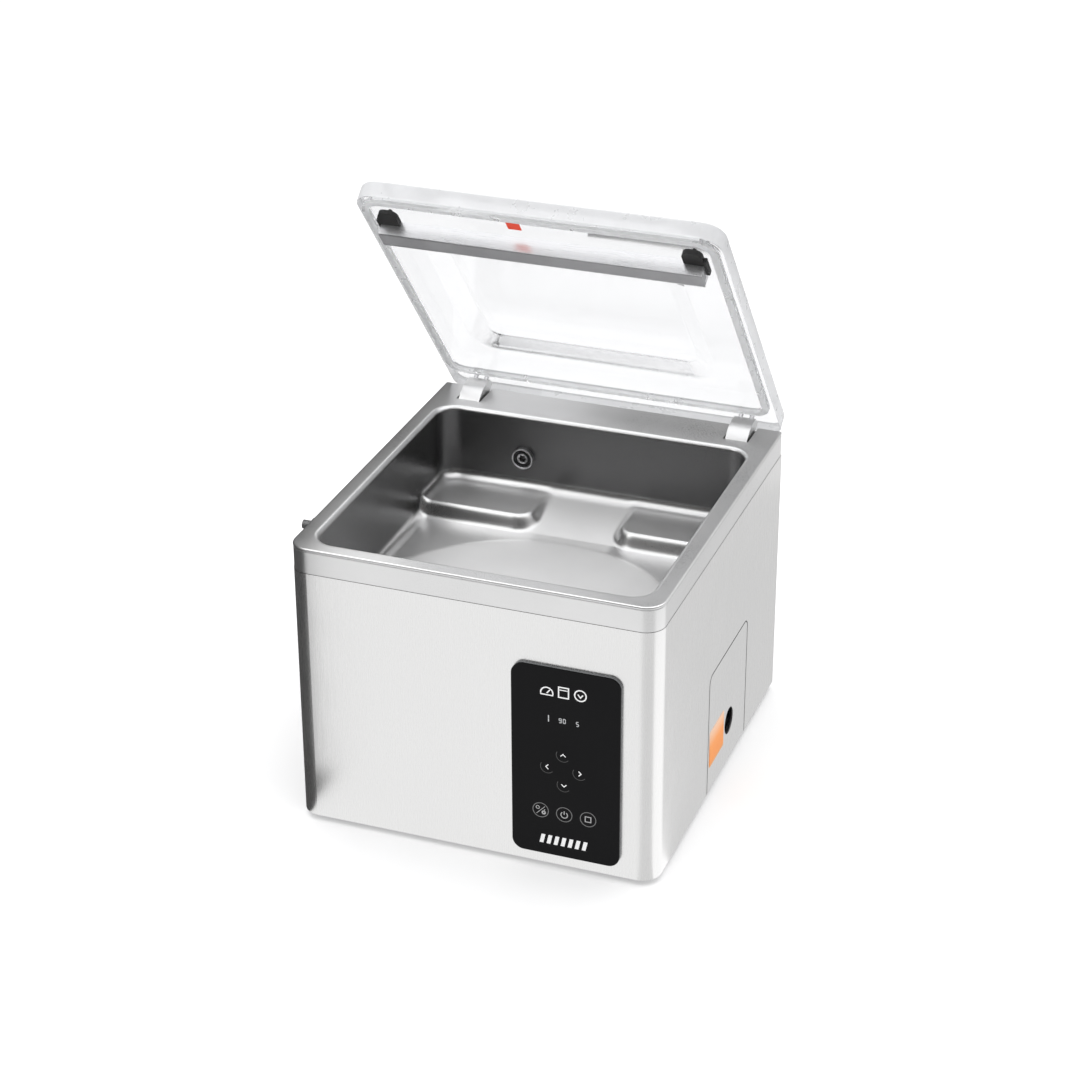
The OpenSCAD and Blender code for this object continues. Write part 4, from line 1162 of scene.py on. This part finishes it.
def cover_line(off):
    """The cover's outline from its bottom front corner, over the rounded top, to its bottom rear corner: (y, z)."""
    y0, y1, z0, z1, r_ = c_lo.y - off, c_hi.y + off, c_lo.z, c_hi.z + off, 10 + off
    out = [(y0, z0)]
    out += [(y0 + r_ - r_ * math.cos(math.radians(a)), z1 - r_ + r_ * math.sin(math.radians(a))) for a in range(0, 91, 9)]
    out += [(y1 - r_ + r_ * math.sin(math.radians(a)), z1 - r_ + r_ * math.cos(math.radians(a))) for a in range(0, 91, 9)]
    return out + [(y1, z0)]


GAP_SHADE_IN, GAP_SHADE_OUT = cover_line(-0.35), cover_line(0.75)
X0, X1 = c_hi.x - 0.9, c_hi.x + 0.12
bm = bmesh.new()
a_ = [[bm.verts.new(Vector((x_, y_, z_)) * MM) for y_, z_ in L] for L in (GAP_SHADE_IN, GAP_SHADE_OUT) for x_ in (X0, X1)]
i0, i1, o0, o1 = a_
for i in range(len(i0) - 1):
    for A_, B_ in ((i0, i1), (i1, o1), (o1, o0), (o0, i0)):
        bm.faces.new((A_[i], A_[i + 1], B_[i + 1], B_[i]))
bm.faces.new((i0[0], i1[0], o1[0], o0[0]))
bm.faces.new((i0[-1], o0[-1], o1[-1], i1[-1]))
bmesh.ops.recalc_face_normals(bm, faces=bm.faces)
# A black rubber strip fills the gap where there is only shade: painted shade.
gap_shade_strip_obj = new_obj("cover_seal", bm, M["black_rubber"], smooth=30)
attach(gap_shade_strip_obj, "base")



# ---------- CAD nodes that stay: rounded edges ----------
for n, wd, sg in (("casing", 0.5, 2), ("service_cover", 0.35, 2), ("back_panel", 0.4, 2), ("base_plate", 0.4, 2), ("rubber_feet", 1.2, 3),
                  ("control_glass", 0.9, 3), ("control_bezel", 0.3, 2), ("lid_gasket", 1.4, 3), ("counter_bar", 0.6, 3), ("counter_bar_silicone", 0.5, 2),
                  ("bar_clips", 1.4, 4), ("hinge_arm_left", 0.7, 3), ("hinge_arm_right", 0.7, 3), ("arm_screws", 0.5, 2), ("foot_screws", 0.3, 2),
                  ("seal_bar", 0.8, 3), ("lift_rods", 0.4, 2), ("lift_cylinders", 0.6, 2), ("suction_fitting", 0.8, 3), ("external_vacuum_port", 0.6, 3),
                  ("power_inlet", 0.6, 3), ("main_switch_housing", 0.6, 3), ("main_switch_rocker", 0.6, 3), ("pump_housing", 1.2, 2), ("pump_oil_tank", 2.0, 3),
                  ("motor_housing", 0.6, 1), ("fan_cover", 0.8, 2), ("oil_filler_cap", 1.0, 3), ("exhaust_filter", 1.5, 3), ("pump_mounts", 1.0, 2),
                  ("valve_manifold", 0.8, 2), ("solenoid_valves", 1.0, 2), ("suction_elbow", 0.8, 2), ("transformer_core", 0.6, 2), ("transformer_coil", 2.0, 3),
                  ("hinge_brackets", 0.4, 2), ("hinge_pins", 0.3, 2), ("gas_spring_cylinders", 0.8, 2), ("gas_spring_brackets", 0.4, 2),
                  ("gas_rod_left", 0.4, 2), ("gas_rod_right", 0.4, 2), ("back_panel_screws", 0.6, 3), ("base_screws", 0.5, 2), ("lid_switch_body", 0.6, 2),
                  ("lid_switch_plunger", 0.4, 2), ("oil_sight_glass", 0.8, 3), ("cooling_fan", 0.3, 1), ("motor_shaft", 0.4, 2), ("display_module", 0.3, 2),
                  ("control_board", 0.2, 1), ("power_board", 0.3, 1), ("board_standoffs", 0.2, 1), ("service_label", 0.1, 1), ("lid_label", 0.1, 1),
                  ("heating_wires", 0.1, 1), ("ptfe_tape", 0.15, 1)):
    edges(n, wd, sg)
